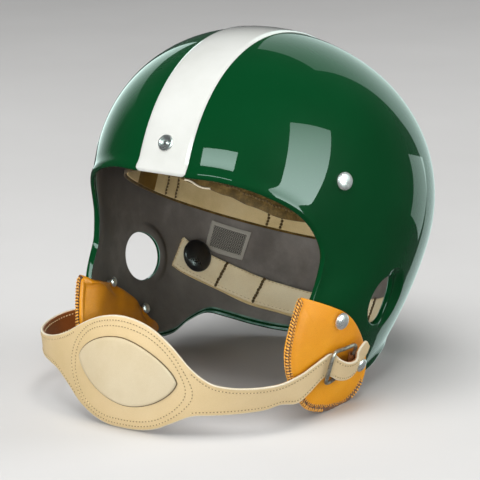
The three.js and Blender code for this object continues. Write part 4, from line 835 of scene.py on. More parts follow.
def make_stripe():
    def turned_back(azimuth, elevation):
        d = direction(np.array(azimuth), np.array(elevation))
        return math.atan2(d[2], -d[1])

    brow = turned_back(0.0, 16.3) - 0.3 / 125
    nape = turned_back(180.0, -58.8) + 2 * math.pi - 0.9 / 145
    near_end = np.array([0, 0.25, 0.6, 1.0, 1.5, 2.0, 2.5, 3.1, 4.0, 5.2, 6.5]) / 125
    angle = np.concatenate([brow + near_end, np.linspace(brow + 8 / 125, nape - 8 / 125, 240), nape - near_end[::-1]])
    d = np.stack([0 * angle, -np.cos(angle), np.sin(angle)], axis=1)
    reach = shell_radius(d)
    from_end = np.minimum((angle - brow) * 125, (nape - angle) * 140)
    corner = 3.0
    inset = corner - np.sqrt(np.maximum(0, corner ** 2 - np.maximum(0, corner - from_end) ** 2))
    half = (STRIPE_WIDTH / 2 - inset) / reach
    near_edge = [1, 0.988, 0.96, 0.925, 0.885, 0.84, 0.79]
    across = np.array([-x for x in near_edge] + [-0.6, -0.4, -0.2, 0, 0.2, 0.4, 0.6] + near_edge[::-1])
    lean = half[:, None] * across
    where = np.stack([np.sin(lean), d[:, 1, None] * np.cos(lean), d[:, 2, None] * np.cos(lean)], axis=-1)
    # thick in the middle, thinner to a soft edge, with a wrinkle and a dip along its brow end
    from_side = (1 - np.abs(across)) * STRIPE_WIDTH / 2
    thin = 0.5 * (1 - smoothstep(from_side, 0, 1.3)) + 0.17 * (1 - smoothstep(from_side, 1.3, 3.6))
    top = 0.98 - thin[None] * np.ones((len(angle), 1))
    top = top - 0.45 * (1 - smoothstep(from_end, 0, 1.2))[:, None]
    along_brow = np.sin(across * 9 + 1) * 0.5 + 0.5
    wrinkle = np.exp(-((from_end - 2.4) / 0.45) ** 2)[:, None] * along_brow
    top = top + 0.16 * wrinkle - 0.14 * np.exp(-((from_end - 3.4) / 0.6) ** 2)[:, None] * along_brow
    beaded = -rounding(np.maximum((angle - brow) * 125 + 0.6, 0.9))[:, None] * (np.abs(angle - brow) < 0.2)[:, None]
    build = Build()
    upper = build.add(on_shell(where, top + beaded))
    lower = build.add(on_shell(where, 0.06 + beaded + 0 * top))
    build.grid(upper)
    build.grid(lower, flip=True)
    for a, b, flip in ((upper[0], lower[0], False), (upper[-1], lower[-1], True)):
        build.grid(np.array([a, b]), flip=not flip)
    for column, flip in ((0, False), (-1, True)):
        build.grid(np.array([upper[:, column], lower[:, column]]), flip=flip)
    return dress(build.done("centre_stripe", [WHITE], 60), "stripe", "stripe")


make_stripe()


# Screws, rivets, studs, snaps and buttons


def dome_profile(place, shank_end, rim=0.45):
    r, rise, seat = place["radius"], place["dome"], place["seat"]
    rows = [(0.01, shank_end), (1.6, shank_end), (1.6, seat), (r - 0.25, seat), (r, seat + 0.2), (r, seat + rim)]
    for k in range(1, 9):
        a = k / 9 * math.pi / 2
        rows.append((r * math.cos(a) ** 0.9, seat + rim + (rise - rim) * math.sin(a)))
    rows.append((0.01, seat + rise))
    return rows


def fastener(name, place, side, shank_end, mat, node_name, slot_name="metal", inward=False):
    build = Build()
    turned(build, dome_profile(place, shank_end), shell_frame(place, side, inward))
    return dress(build.done(name, [mat], 50), slot_name, node_name)


def make_front_screw():
    build = Build()
    profile = [(0.01, -5.5), (1.6, -5.5), (1.6, 1.0), (5.0, 1.0), (5.35, 1.1), (5.35, 1.5), (5.2, 1.8), (4.85, 2.05),
               (4.4, 2.1), (4.0, 2.0), (3.3, 1.45), (2.6, 1.1), (2.0, 1.0), (1.95, 1.2), (1.6, 1.5), (0.9, 1.68), (0.01, 1.74)]
    turned(build, profile, shell_frame(SCREW))
    return dress(build.done("brow_screw", [SNAP_NICKEL], 50), "metal", "front_screw")


make_front_screw()
for side_name, side in SIDES:
    fastener(f"temple_rivet_{side_name}", SIDE_RIVET, side, -6.4, NICKEL, f"side_rivet_{side_name}")
    fastener(f"pad_dome_{side_name}", {**PAD_RIVET, "radius": 5.7, "dome": 3.3}, side, -4, NICKEL, f"pad_rivet_{side_name}")
    fastener(f"stud_dome_{side_name}", STUD, side, -4, NICKEL, f"strap_stud_{side_name}")
    for level, snap in SNAPS.items():
        fastener(f"snap_{level}_{side_name}", snap, side, 5, SNAP_NICKEL, f"pad_snap_{level}_{side_name}", inward=True)
    fastener(f"nape_knob_{side_name}", {**BUTTON, "radius": 11.8}, side, 5, BLACK, f"nape_button_{side_name}", "button", True)


# The jaw pads

PAD_HUB = direction(np.array(62.0), np.array(-43.0))
# azimuth, elevation, open, drop, settle
PAD_OUTLINE = np.array([
    (43.6, -18.0, 1, 3.6, 4.4), (45.4, -18.4, 0, 3.8, 4.5), (52.9, -21.8, 0, 3.6, 4.5), (59.1, -25.1, 0, 4.4, 4.2),
    (64.4, -29.1, 0, 5.6, 3.4), (70.1, -35.1, 0, 6.4, 2.4), (76.6, -42.2, 0, 7.6, 1.4), (79.2, -46.0, 0, 6.4, 0.6),
    (79.6, -49.4, 0.4, 4.2, 0), (75.4, -52.7, 1, 2, 0), (68.6, -53.8, 1, 0.6, 0), (60.8, -52.0, 1, 0, 0),
    (53.2, -48.9, 1, 0, 0), (47.4, -45.6, 1, 0, 0), (43.8, -41.6, 1, 0, 0), (41.3, -37.4, 1, 0, 0.4),
    (39.9, -33.6, 1, 0, 1), (39.6, -29.8, 1, 0.6, 2), (40.3, -26.2, 1, 1.6, 3), (41.7, -21.8, 1, 3, 4),
])
PAD_SPOKES = 264
PAD_RINGS = np.concatenate([np.linspace(0.04, 0.8, 20), np.linspace(0.83, 0.89, 4), np.linspace(0.9, 1, 22)])
PAD_LEATHER, OUTER_FILL, INNER_FILL, BOTTOM_SWELL = 2.2, 1.2, 6.0, 6.4
SEAM_INSET = 3.1


def smooth_noise(points, scale, seed):
    """A soft repeatable waviness, from a few crossed sines."""
    rng = np.random.default_rng(seed)
    total = np.zeros(points.shape[:-1])
    for _ in range(9):
        wave = unit(rng.normal(size=3)) / scale * rng.uniform(0.6, 1.7)
        total += np.sin(points @ wave * 2 * math.pi + rng.uniform(0, 6.28))
    return total / 9 * 1.6


def pad_offsets(ring, opened):
    fullness = np.sqrt(np.maximum(0, 1 - ring ** 2.4))
    closing = opened * smoothstep(ring, 0.8, 1)
    outer = 0.3 + PAD_LEATHER + OUTER_FILL * fullness
    inner = -THICKNESS - 0.3 - PAD_LEATHER - INNER_FILL * fullness
    cushion = opened * np.clip((ring - 0.62) / 0.38, 0, 1) ** 3
    return outer + (3.8 - outer) * closing, inner + (-1.2 - inner) * cushion


def make_pad(side_name, side):
    u = np.arange(PAD_SPOKES) / PAD_SPOKES
    settle = PAD_OUTLINE[:, 4] if side < 0 else 0
    outline_d, opened = closed_directions(PAD_OUTLINE[:, 0], PAD_OUTLINE[:, 1] - settle, PAD_OUTLINE[:, 2], u)
    inside_d, _ = closed_directions(
        PAD_OUTLINE[:, 0], PAD_OUTLINE[:, 1] - settle - PAD_OUTLINE[:, 3], PAD_OUTLINE[:, 2], u)
    opened = np.clip(opened, 0, 1)
    rings = PAD_RINGS[:, None]

    def face(edge_d, inside):
        d = unit(PAD_HUB + rings[..., None] * (edge_d - PAD_HUB))
        offsets = pad_offsets(rings, opened[None])[1 if inside else 0]
        swell = BOTTOM_SWELL * smoothstep(-d[..., 2], 0.669, 0.809) * (0.3 if inside else 1)
        return d, offsets + swell

    outer_d, outer_offset = face(outline_d, False)
    inner_d, inner_offset = face(inside_d, True)
    # puckers that run in from the sewn edge, a soft fold beside it, and the leather's own unevenness
    length = u * 250
    pucker = np.sin(length * 2 * math.pi / 4.4 + 1.3 * np.sin(length / 9)) * opened
    near_seam = np.exp(-((1 - rings) / 0.11) ** 2) * (1 - smoothstep(rings, 0.965, 1.0))
    fold = np.exp(-((rings - 0.80) / 0.055) ** 2) - 0.7 * np.exp(-((rings - 0.90) / 0.035) ** 2)
    front = np.exp(-(np.minimum(np.abs(u - 0.86), 1 - np.abs(u - 0.86)) / 0.13) ** 2)
    outer_offset = outer_offset + 0.22 * near_seam * pucker + 0.6 * fold * opened * (0.35 + 0.65 * front)
    inner_offset = inner_offset - 0.06 * near_seam * (1 + pucker) - 0.5 * np.exp(-((rings - 0.86) / 0.07) ** 2) * opened
    outer_plain = over_plain(outer_d, outer_offset)
    inner_plain = over_plain(inner_d, inner_offset)
    outer_offset = outer_offset + 0.32 * smooth_noise(outer_plain, 26, 11 if side > 0 else 12) * (1 - rings ** 6)
    inner_offset = inner_offset - (0.35 + 0.5 * smooth_noise(inner_plain, 20, 13 if side > 0 else 14)) * (1 - rings ** 6)
    # the rivets and snaps press the leather in
    for place in (PAD_RIVET, STUD):
        gone = {**place, "elevation": place["elevation"] - (place.get("settle", 0) if side < 0 else 0)}
        centre, _, _, z = shell_frame(gone)
        v = outer_plain - centre
        rho = np.linalg.norm(v - (v @ z)[..., None] * z, axis=-1)
        outer_offset = outer_offset - 1.0 * np.exp(-(rho / (place["radius"] + 1.6)) ** 4) * (1 if place is PAD_RIVET else 0.4)
    for snap in SNAPS.values():
        centre, _, _, z = shell_frame(snap)
        v = inner_plain - centre
        rho = np.linalg.norm(v - (v @ z)[..., None] * z, axis=-1)
        depth = np.maximum(0, -inner_offset - snap["seat"] + 0.4) * np.exp(-(rho / 8.0) ** 3)
        inner_offset = inner_offset + depth
    outer = over_plain(outer_d, outer_offset)
    # the seam's groove on the outer panel, the same distance in from the edge all the way
    from_edge = np.cumsum(np.linalg.norm(np.diff(outer[::-1], axis=0, prepend=outer[-1:]), axis=-1), axis=0)[::-1]
    groove = np.exp(-((from_edge - SEAM_INSET) / 0.5) ** 2)
    strip_swell = np.exp(-((from_edge - 1.3) / 1.1) ** 2)
    outer_offset = outer_offset + opened * (0.45 * strip_swell - 0.85 * groove)
    outer = over_plain(outer_d, outer_offset)
    inner = over_plain(inner_d, inner_offset)
    # the rim: the outer panel's edge, a groove painted dark as its shade, and the binding strip
    start, end = outer[-1], inner[-1]
    away = unit(outer[-1] - outer[-3])
    # part from the outer panel to the inner one, and how far that stands out
    section = np.array([
        (0.03, 0.30), (0.07, 0.55), (0.12, 0.70), (0.17, 0.72), (0.22, 0.55), (0.26, 0.20), (0.29, -0.15), (0.32, -0.30),
        (0.36, 0.05), (0.43, 0.60), (0.53, 1.05), (0.66, 1.25), (0.80, 1.05), (0.92, 0.55),
    ])
    ladder = 0.5 + 0.5 * np.cos(length * 2 * math.pi / 2.2)
    rim = []
    for part, stand in section:
        strip = opened * (0.30 * ladder if part < 0.2 else 0.0)
        bulge = stand * (0.35 + 0.65 * opened) - strip * 0.5
        plain_stand = 0.6 * math.sin(math.pi * part)
        amount = plain_stand + (bulge - plain_stand) * opened
        rim.append(start + (end - start) * part + away * amount[:, None])
    rim = np.array(rim)

    def settle_down(points):
        low = points[..., 2]
        points[..., 2] = np.where(low < 1.2, np.where(low < 0, 0.02 + 0.0 * low, low + 0.05 * (1.2 - low)), low)
        if side < 0:
            points[..., 0] *= -1
        return points

    hub_out = over_plain(PAD_HUB[None], outer_offset[0].mean())
    hub_in = over_plain(PAD_HUB[None], inner_offset[0].mean())
    outer, inner, rim, hub_out, hub_in = (settle_down(p) for p in (outer, inner, rim, hub_out, hub_in))
    build = Build()
    out_ids, in_ids, rim_ids = build.add(outer), build.add(inner), build.add(rim)
    sewn = opened > 0.6
    # the groove's faces are painted dark as its shade
    groove_shaded = sewn & (np.abs(from_edge[:-1] - SEAM_INSET) < 0.34)
    # the strip's faces are painted dark brown as the shade between its overcast stitches
    strip_shaded = sewn & (from_edge[:-1] <= SEAM_INSET - 0.45)
    build.grid(out_ids, around=True, slot=np.where(groove_shaded, 1, np.where(strip_shaded, 3, 0)))
    build.grid(in_ids, around=True, flip=True)
    band = np.concatenate([out_ids[-1:], rim_ids, in_ids[-1:]])
    # the rim's first rows are painted with the shade between the overcast stitches
    build.grid(band[:7], around=True, slot=np.where(sewn, 3, 0))
    # the rim's groove is painted dark as its shade
    build.grid(band[6:10], around=True, slot=np.where(sewn, 1, 0))
    build.grid(band[9:], around=True)
    for ids, hub, flip in ((out_ids, hub_out, True), (in_ids, hub_in, False)):
        centre = build.add(hub)[0]
        fan = np.stack([ids[0], np.roll(ids[0], -1), np.full(PAD_SPOKES, centre)], axis=-1)
        build.face(fan[:, ::-1] if not flip else fan[:, ::-1], 0) if flip else build.face(fan, 0)
    middle_of = (outer.mean(axis=(0, 1)) + inner.mean(axis=(0, 1))) / 2
    index = np.arange(PAD_SPOKES)[sewn]
    first = index[np.argmax(np.diff(index, prepend=index[-1] - PAD_SPOKES) > 1)] if len(index) < PAD_SPOKES else 0
    index = (first + np.arange(len(index))) % PAD_SPOKES
    # overcast stitches on the strip, ticks across the panel's edge, and their needle marks, dark spots of painted shade
    def ring_at(distance):
        near = np.abs(from_edge - distance).argmin(axis=0)
        return outer[near, np.arange(PAD_SPOKES)]

    to_edge = outer[-1] - ring_at(4.0)
    marks = ring_at(SEAM_INSET + 1.0)
    for row, toward, length, width, high, slot, pitch in (
        (ring_at(1.25), to_edge, 2.5, 1.3, 0.75, 2, 2.1),
        (rim[2], rim[4] - rim[0], 2.2, 1.3, 0.8, 2, 2.1),
        (ring_at(SEAM_INSET + 0.95), to_edge, 1.7, 0.95, 0.5, 2, 2.1),
        (marks, to_edge, 1.5, 0.55, 0.3, 1, 2.1),
    ):
        line = row[index]
        reach = np.concatenate([[0], np.cumsum(np.linalg.norm(np.diff(line, axis=0), axis=1))])
        at = np.arange(0.8, reach[-1] - 0.8, pitch) + (0.0 if row is not marks else pitch / 2)
        spot = np.column_stack([np.interp(at, reach, line[:, k]) for k in range(3)])
        across = np.column_stack([np.interp(at, reach, toward[index][:, k]) for k in range(3)])
        ahead = np.column_stack([np.interp(at + 0.5, reach, line[:, k]) for k in range(3)]) - spot
        up = np.cross(unit(across), unit(ahead + 1e-9))
        up = up * np.sign(np.sum(up * (spot - middle_of), axis=1))[:, None]
        lean = unit(across + 0.12 * ahead)
        stitches(build, spot + up * 0.08, lean, up, length, width, high, slot)
    obj = build.done(f"leather_jaw_pad_{side_name}", [TAN, GROOVE_SHADE, TAN_THREAD, STRIP_SHADE], None)
    return dress(obj, "pad_leather", f"jaw_pad_{side_name}")


for side_name, side in SIDES:
    make_pad(side_name, side)


# Rounded straps: a closed ring of points round each cross section


def section_ring(width, thickness, columns, radius):
    """(place across in mm, height) rows round a flat section with rounded edges."""
    half = thickness / 2
    top = [(radius + (width - 2 * radius) * k / columns, half) for k in range(columns + 1)]
    right = [(width - radius + radius * math.sin(a), half * math.cos(a)) for a in np.linspace(0.5, 2.64, 4)]
    bottom = [(x, -half) for x, _ in top[::-1]]
    left = [(radius - radius * math.sin(a), -half * math.cos(a)) for a in np.linspace(0.5, 2.64, 4)]
    return np.array(top + right + bottom + left)


def strap_mesh(build, surface, rows, widths, thickness, columns, radius, slot=0):
    """surface(row, part, offset) gives points; widths are in mm."""
    rings = []
    for row, width in zip(rows, widths):
        section = section_ring(max(width, 2.2 * radius), thickness, columns, radius)
        part = section[:, 0] / max(width, 2.2 * radius)
        rings.append(surface(np.full(len(part), row), part, section[:, 1]))
    return loft(build, np.array(rings), slot)


# The sweatband and its suede backing, in a plane tilted back like the head

RING_TILT = math.radians(24)
RING_HALF_WIDTH, RING_HALF_LENGTH, RING_MIDDLE, RING_TOP = 86.0, 106.0, 2.0, 24.0
LOW_EDGE = np.array([(-180, -12), (-20, -12), (0, -13.5), (12, -16.5), (24, -19), (34, -22), (46, -24.5), (62, -22),
                     (80, -15), (100, -12), (180, -12)])


def tilted(x, y, z):
    c, s = math.cos(RING_TILT), math.sin(RING_TILT)
    return np.stack([x, c * y + s * z, -s * y + c * z + CENTRE[2]], axis=-1)


def ring_point(angle, height, offset):
    a = np.radians(angle)
    x = RING_HALF_WIDTH * np.sin(a)
    y = -RING_HALF_LENGTH * np.cos(a)
    ox, oy = x / RING_HALF_WIDTH ** 2, y / RING_HALF_LENGTH ** 2
    size = np.hypot(ox, oy)
    return tilted(x + ox / size * offset, RING_MIDDLE + y + oy / size * offset, height)


def low_edge(angle):
    i = np.clip(np.searchsorted(LOW_EDGE[:, 0], angle, side="right") - 1, 0, len(LOW_EDGE) - 2)
    t = np.clip((angle - LOW_EDGE[i, 0]) / (LOW_EDGE[i + 1, 0] - LOW_EDGE[i, 0]), 0, 1)
    t = t * t * (3 - 2 * t)
    return LOW_EDGE[i, 1] + (LOW_EDGE[i + 1, 1] - LOW_EDGE[i, 1]) * t


def ring_band(thickness, offset, lower, upper, wave, patch=None):
    steps = 300
    angles = -180 + 360 * np.arange(steps) / steps
    rings = []
    for angle in angles:
        low = low_edge(np.array(angle)) + lower
        high = RING_TOP + upper
        section = section_ring(high - low, thickness, 12, 0.55)
        height = low + section[:, 0]
        ripple = wave * (math.sin(math.radians(angle) * 17) * 0.5 + math.sin(math.radians(angle) * 7 + 1))
        fade = np.clip((RING_TOP - height) / 30, 0, 1)
        rings.append(ring_point(np.full(len(height), angle), height, offset + section[:, 1] + ripple * fade))
    build = Build()
    ids = build.add(np.array(rings))
    closed = np.concatenate([ids, ids[:1]])
    slots = np.zeros((steps, 1), int)
    if patch:
        slots[(angles > patch[0]) & (angles < patch[1])] = 2
    build.grid(closed, around=True, slot=slots)
    return build


def sew_band(build, angles, heights, offset, slot, size):
    """Stitches along a line on the band, facing the way that offset does."""
    way = math.copysign(1, offset)
    spot = ring_point(angles, heights, offset)
    out = ring_point(angles, heights, offset + way) - spot
    stitches(build, spot, np.gradient(spot, axis=0), out, *size, slot)


BACKING_OFFSET = 0.75 + 0.3 + 0.6


def make_sweatband():
    build = ring_band(1.5, 0.0, 0, 0, 0.3, (-86.5, -71.5))
    # pairs of dark stitch lines across the band, inside and out
    for angle in (-5, 1.5, 44.5, 51, 94, 100, 146, 152.3, -94, -100, -146, -152.3):
        low = float(low_edge(np.array(float(angle))))
        heights = np.arange(low + 1.3, RING_TOP - 1.0, 2.35)
        shake = 0.16 * np.sin(heights * 2.1 + angle)
        lean = angle + shake + (heights - low) * 0.03
        sew_band(build, lean, heights, -0.95, 1, (2.3, 2.0, 1.1))
    # the rolled edge of the suede beside the stripe
    roll = np.linspace(5.5, 17, 40)
    crest = ring_point(roll, low_edge(roll) - 1.2 + 0.9 * np.sin((roll - 5) * 0.55), 3.6)
    along = unit(np.gradient(crest, axis=0))
    side_way = unit(np.cross(along, [0, 0, 1.0]))
    up = np.cross(side_way, along)
    angle = bead_ring(10)
    tube = crest[:, None] + 0.62 * (np.cos(angle)[None, :, None] * side_way[:, None] + np.sin(angle)[None, :, None] * up[:, None])
    loft(build, tube, 3)
    obj = build.done("brow_sweatband", [BAND, BROWN_THREAD, PATCH, EDGE_CREAM], 60)
    return dress(obj, "sweatband_leather", "sweatband")


def make_backing():
    build = ring_band(1.2, BACKING_OFFSET, -1.5, -1.0, 0.2)
    around = np.arange(-178, 178, 1.35)
    heights = low_edge(around) + 4.8 + 0.35 * np.sin(around)
    sew_band(build, around, heights, BACKING_OFFSET + 0.72, 1, (2.0, 1.5, 0.9))
    return dress(build.done("band_suede", [SUEDE, BROWN_THREAD], 60), "lining", "sweatband_backing")


make_sweatband()
make_backing()

# The cotton tabs that hang the sweatband

TAB_WIDTH, TAB_THICKNESS = 18.0, 1.2
# height, how far over to the shell's wall
TAB_PATH = np.array([(-6, 1), (3, 1), (12, 1), (19, 0.92), (24.5, 0.7), (27, 0.4), (25, 0.12), (20, 0), (12, 0), (4, 0)])
TABS = (
    ("front", SCREW, 1, 0.8), ("left", SIDE_RIVET, 1, 0.8), ("right", SIDE_RIVET, -1, 0.8),
    ("rear_left", {"azimuth": 143, "elevation": -17}, 1, 1.3), ("rear_right", {"azimuth": 143, "elevation": -17}, -1, 1.3),
)


def wall_point(start, along, offset):
    near = np.zeros(start.shape[:-1])
    far = np.full(start.shape[:-1], 80.0)
    for _ in range(26):
        middle = (near + far) / 2
        inside = beyond(start + along * middle[..., None]) < 0
        near = np.where(inside, middle, near)
        far = np.where(inside, far, middle)
    return on_shell(unit(start + along * near[..., None] - CENTRE), offset)


def make_tab(name, place, side, gap):
    seat, _, _, _ = shell_frame(place, side)
    target = seat - CENTRE
    c, s = math.cos(RING_TILT), math.sin(RING_TILT)
    across = (target[0] / RING_HALF_WIDTH, (c * target[1] - s * target[2] - RING_MIDDLE) / RING_HALF_LENGTH)
    angle = math.degrees(math.atan2(across[0], -across[1]))
    seat_height = s * target[1] + c * target[2]
    ring_offset = BACKING_OFFSET + 0.6 + 0.3 + TAB_THICKNESS / 2
    rows = TAB_PATH.copy()
    rows[:, 0] = np.where(rows[:, 1] == 1, rows[:, 0] + seat_height - 3, rows[:, 0])
    path = open_spline(rows, np.linspace(0, 1, 46))
    part = np.linspace(-1, 1, 9)
    at = angle + part * TAB_WIDTH * 0.5 * 57.3 / 96
    aa, hh = np.meshgrid(at, path[:, 0])
    wall = np.clip(path[:, 1], 0, 1)[:, None, None]
    start = ring_point(aa, hh, 0.0)
    out = ring_point(aa, hh, 1.0) - start
    on_wall = wall_point(start, out, -THICKNESS - gap - TAB_THICKNESS / 2)
    grid = ring_point(aa, hh, ring_offset) * (1 - wall) + on_wall * wall
    along = np.gradient(grid, axis=0)
    cross = np.gradient(grid, axis=1)
    normal = unit(np.cross(along, cross))
    thick = np.full(aa.shape, TAB_THICKNESS / 2)
    thick[:, [0, -1]] *= 0.6
    build = Build()
    upper = build.add(grid + normal * thick[..., None])
    lower = build.add(grid - normal * thick[..., None])
    build.grid(upper)
    build.grid(lower, flip=True)
    for row, flip in ((0, True), (-1, False)):
        build.grid(np.array([upper[row], lower[row]]), flip=flip)
    for column, flip in ((0, False), (-1, True)):
        build.grid(np.array([upper[:, column], lower[:, column]]), flip=flip)
    return dress(build.done(f"hanging_strap_{name}", [COTTON], 60), "webbing", f"hanging_tab_{name}")


for tab in TABS:
    make_tab(*tab)

# The nape band: azimuth and elevation of its top and low edges

NAPE_ROWS = np.array([
    (110.5, -28.0, 101.5, -36.6), (116.5, -32.4, 107.5, -40.0), (130.6, -38.5, 122.3, -46.1),
    (147.4, -43.7, 140.8, -51.6), (166.0, -46.6, 162.0, -54.6), (180, -47.2, 180, -55.0),
])
NAPE_THICKNESS, NAPE_STAND, NAPE_GAP = 2.2, 5.0, 0.8
whole_nape = np.vstack([NAPE_ROWS, np.column_stack([
    360 - NAPE_ROWS[-2::-1, 0], NAPE_ROWS[-2::-1, 1], 360 - NAPE_ROWS[-2::-1, 2], NAPE_ROWS[-2::-1, 3]])])


def nape_surface(t, part, offset):
    row = open_spline(whole_nape, t)
    top = direction(row[..., 0], row[..., 1])
    low = direction(row[..., 2], row[..., 3])
    away = NAPE_STAND * np.sin(math.pi * t) ** 2
    d = unit(low + (top - low) * np.asarray(part)[..., None])
    return on_shell(d, -THICKNESS - NAPE_GAP - NAPE_THICKNESS / 2 - away - offset)


def make_nape_band():
    build = Build()
    steps = np.linspace(0, 1, 121)
    low = nape_surface(steps, 0 * steps, 0 * steps)
    top = nape_surface(steps, 0 * steps + 1, 0 * steps)
    widths = np.linalg.norm(top - low, axis=1)
    rings = []
    for t, width in zip(steps, widths):
        section = section_ring(width, NAPE_THICKNESS, 10, 0.9)
        part = section[:, 0] / width
        curl = 0.5 * np.sin(part * math.pi * 2 + t * 40) + 0.4 * math.sin(t * 60)
        rings.append(nape_surface(np.full(len(part), t), part, section[:, 1] + 0.35 * curl))
    loft(build, np.array(rings))
    # stitched seams across the band, by the way along it at their middle
    for seam in (0.192, 0.296, 0.5, 0.704, 0.808):
        part = np.linspace(0.05, 0.95, 9)
        t = seam + 0.0006 * np.sin(part * 21 + seam * 50)
        for face in (1, -1):
            spot = nape_surface(t, part, np.full(9, face * (NAPE_THICKNESS / 2 + 0.3)))
            out = nape_surface(t, part, np.full(9, face * (NAPE_THICKNESS / 2 + 1.3))) - spot
            stitches(build, spot, np.gradient(spot, axis=0), out, 2.7, 2.1, 1.1, 1)
    for edge in (0.07, 0.93):
        t = np.linspace(0.01, 0.99, 160)
        line = nape_surface(t, 0 * t + edge, 0 * t + NAPE_THICKNESS / 2 + 0.22)
        normal = nape_surface(t, 0 * t + edge, 0 * t + NAPE_THICKNESS / 2 + 1.22) - line
        spot, tangent, up = spaced(line, normal, 3.0)
        stitches(build, spot, tangent, up, 1.9, 0.5, 0.35, 2)
    # loose threads at the band's ends and along its low edge beside them
    rng = np.random.default_rng(5)
    for end, way in ((0.0, -1), (1.0, 1)):
        part = rng.uniform(0.02, 0.98, 34)
        spot = nape_surface(np.full(34, end), part, rng.uniform(-0.4, 0.6, 34))
        ahead = spot - nape_surface(np.full(34, end - 0.01 * way), part, np.zeros(34))
        across = nape_surface(np.full(34, end), part + 0.05, np.zeros(34)) - spot
        lean = unit(ahead) + rng.normal(0, 0.6, (34, 1)) * unit(across)
        stitches(build, spot, lean, np.cross(ahead, across), 3.0, 0.34, 0.3, 2)
        at = end - way * rng.uniform(0.0, 0.16, 30)
        spot = nape_surface(at, 0 * at, rng.uniform(-0.4, 0.5, 30))
        down = spot - nape_surface(at, 0 * at + 0.05, 0 * at)
        along = nape_surface(at + 0.01, 0 * at, 0 * at) - nape_surface(at, 0 * at, 0 * at)
        lean = unit(down) + rng.normal(0, 1.0, (30, 1)) * unit(along)
        stitches(build, spot, lean, np.cross(down, along), 1.9, 0.3, 0.26, 2)
    # the thinner second layer that shows below its low edge
    rings = []
    for t, width in zip(steps, widths):
        section = section_ring(width, 0.7, 4, 0.3)
        part = section[:, 0] / width - 1.6 * math.sin(math.pi * t) / width * (1 + 0.3 * math.sin(t * 37))
        rings.append(nape_surface(np.full(len(part), t), part, section[:, 1] - NAPE_THICKNESS / 2 - 0.3))
    loft(build, np.array(rings), 3)
    obj = build.done("nape_strap", [NAPE, BROWN_THREAD, CREAM_THREAD, BAND], 60)
    return dress(obj, "strap_leather", "nape_band")


make_nape_band()

# The label: corners by azimuth and elevation, first its lower edge, then its upper one

LABEL_LOW = ((-120.5, -32.6), (-137.0, -37.1))
LABEL_HIGH = ((-125.4, -23.1), (-141.4, -27.7))


def make_label():
    low0, low1 = (direction(np.array(a), np.array(e)) for a, e in LABEL_LOW)
    high0, high1 = (direction(np.array(a), np.array(e)) for a, e in LABEL_HIGH)
    across, rise = np.meshgrid(np.linspace(0, 1, 115), np.linspace(0, 1, 73))
    low = low0 + (low1 - low0) * across[..., None]
    high = high0 + (high1 - high0) * across[..., None]
    d = unit(low + (high - low) * rise[..., None])
    # a raised pale border round rows of plain woven checks, with no words
    border = np.minimum(np.minimum(across, 1 - across) * 30, np.minimum(rise, 1 - rise) * 20)
    inside = border > 2.6
    checks = (np.sin(across * math.pi * 2 * 19) * np.sin(rise * math.pi * 2 * 9)) > 0
    raised = 0.3 * (border < 2.2) + 0.14 * (inside & checks)
    centre_slot = np.where(checks, 1, 2)
    slots = np.where(inside, centre_slot, 0)[:-1, :-1]
    build = Build()
    upper = build.add(on_shell(d, -THICKNESS - 0.8 - 0.5 - raised))
    lower = build.add(on_shell(d, -THICKNESS - 0.3))
    build.grid(upper, slot=slots)
    build.grid(lower, flip=True)
    for row, flip in ((0, True), (-1, False)):
        build.grid(np.array([upper[row], lower[row]]), flip=flip)
    for column, flip in ((0, False), (-1, True)):
        build.grid(np.array([upper[:, column], lower[:, column]]), flip=flip)
    return dress(build.done("woven_label", [LABEL_EDGE, LABEL_DARK, LABEL], 50), "label", "label_plate")


make_label()

# The chin strap. Rows on the pads: azimuth, elevation and height over the shell of the upper edge,
# then of the lower edge. Free rows: x, y, low, high, lean, bulge.

STRAP_THICKNESS, LINING_THICKNESS = 1.6, 0.7
LEFT_ROWS = np.array([
    (70.0, -34.9, 9.8, 73.9, -38.5, 8.6), (67.4, -35.3, 10.6, 73.2, -40.2, 8.8), (65.8, -36.2, 11.4, 71.6, -42.6, 8.2),
    (65.0, -37.4, 12.9, 70.0, -43.7, 8.8), (62.8, -37.2, 13.2, 66.6, -44.1, 10.0), (60.4, -36.6, 12.2, 62.4, -43.2, 10.6),
    (58.0, -35.6, 10.0, 58.6, -41.9, 9.6), (56.3, -34.6, 7.4, 55.9, -40.6, 7.4), (54.4, -34.2, 6.0, 53.8, -40.1, 6.0),
    (51.6, -34.4, 6.0, 51.2, -40.2, 6.0), (48.2, -34.8, 6.0, 47.2, -41.1, 6.4), (44.2, -35.1, 6.2, 43.1, -41.2, 6.8),
])
RIGHT_ROWS = np.array([
    (56.0, -34.2, 8.6, 55.4, -40.0, 7.8), (61.0, -36.0, 7.4, 60.0, -41.6, 7.4), (66.5, -38.6, 7.2, 65.2, -44.2, 8.2),
    (71.5, -41.0, 7.6, 70.2, -46.2, 9.6), (75.2, -43.0, 8.2, 74.6, -45.6, 9.4),
])
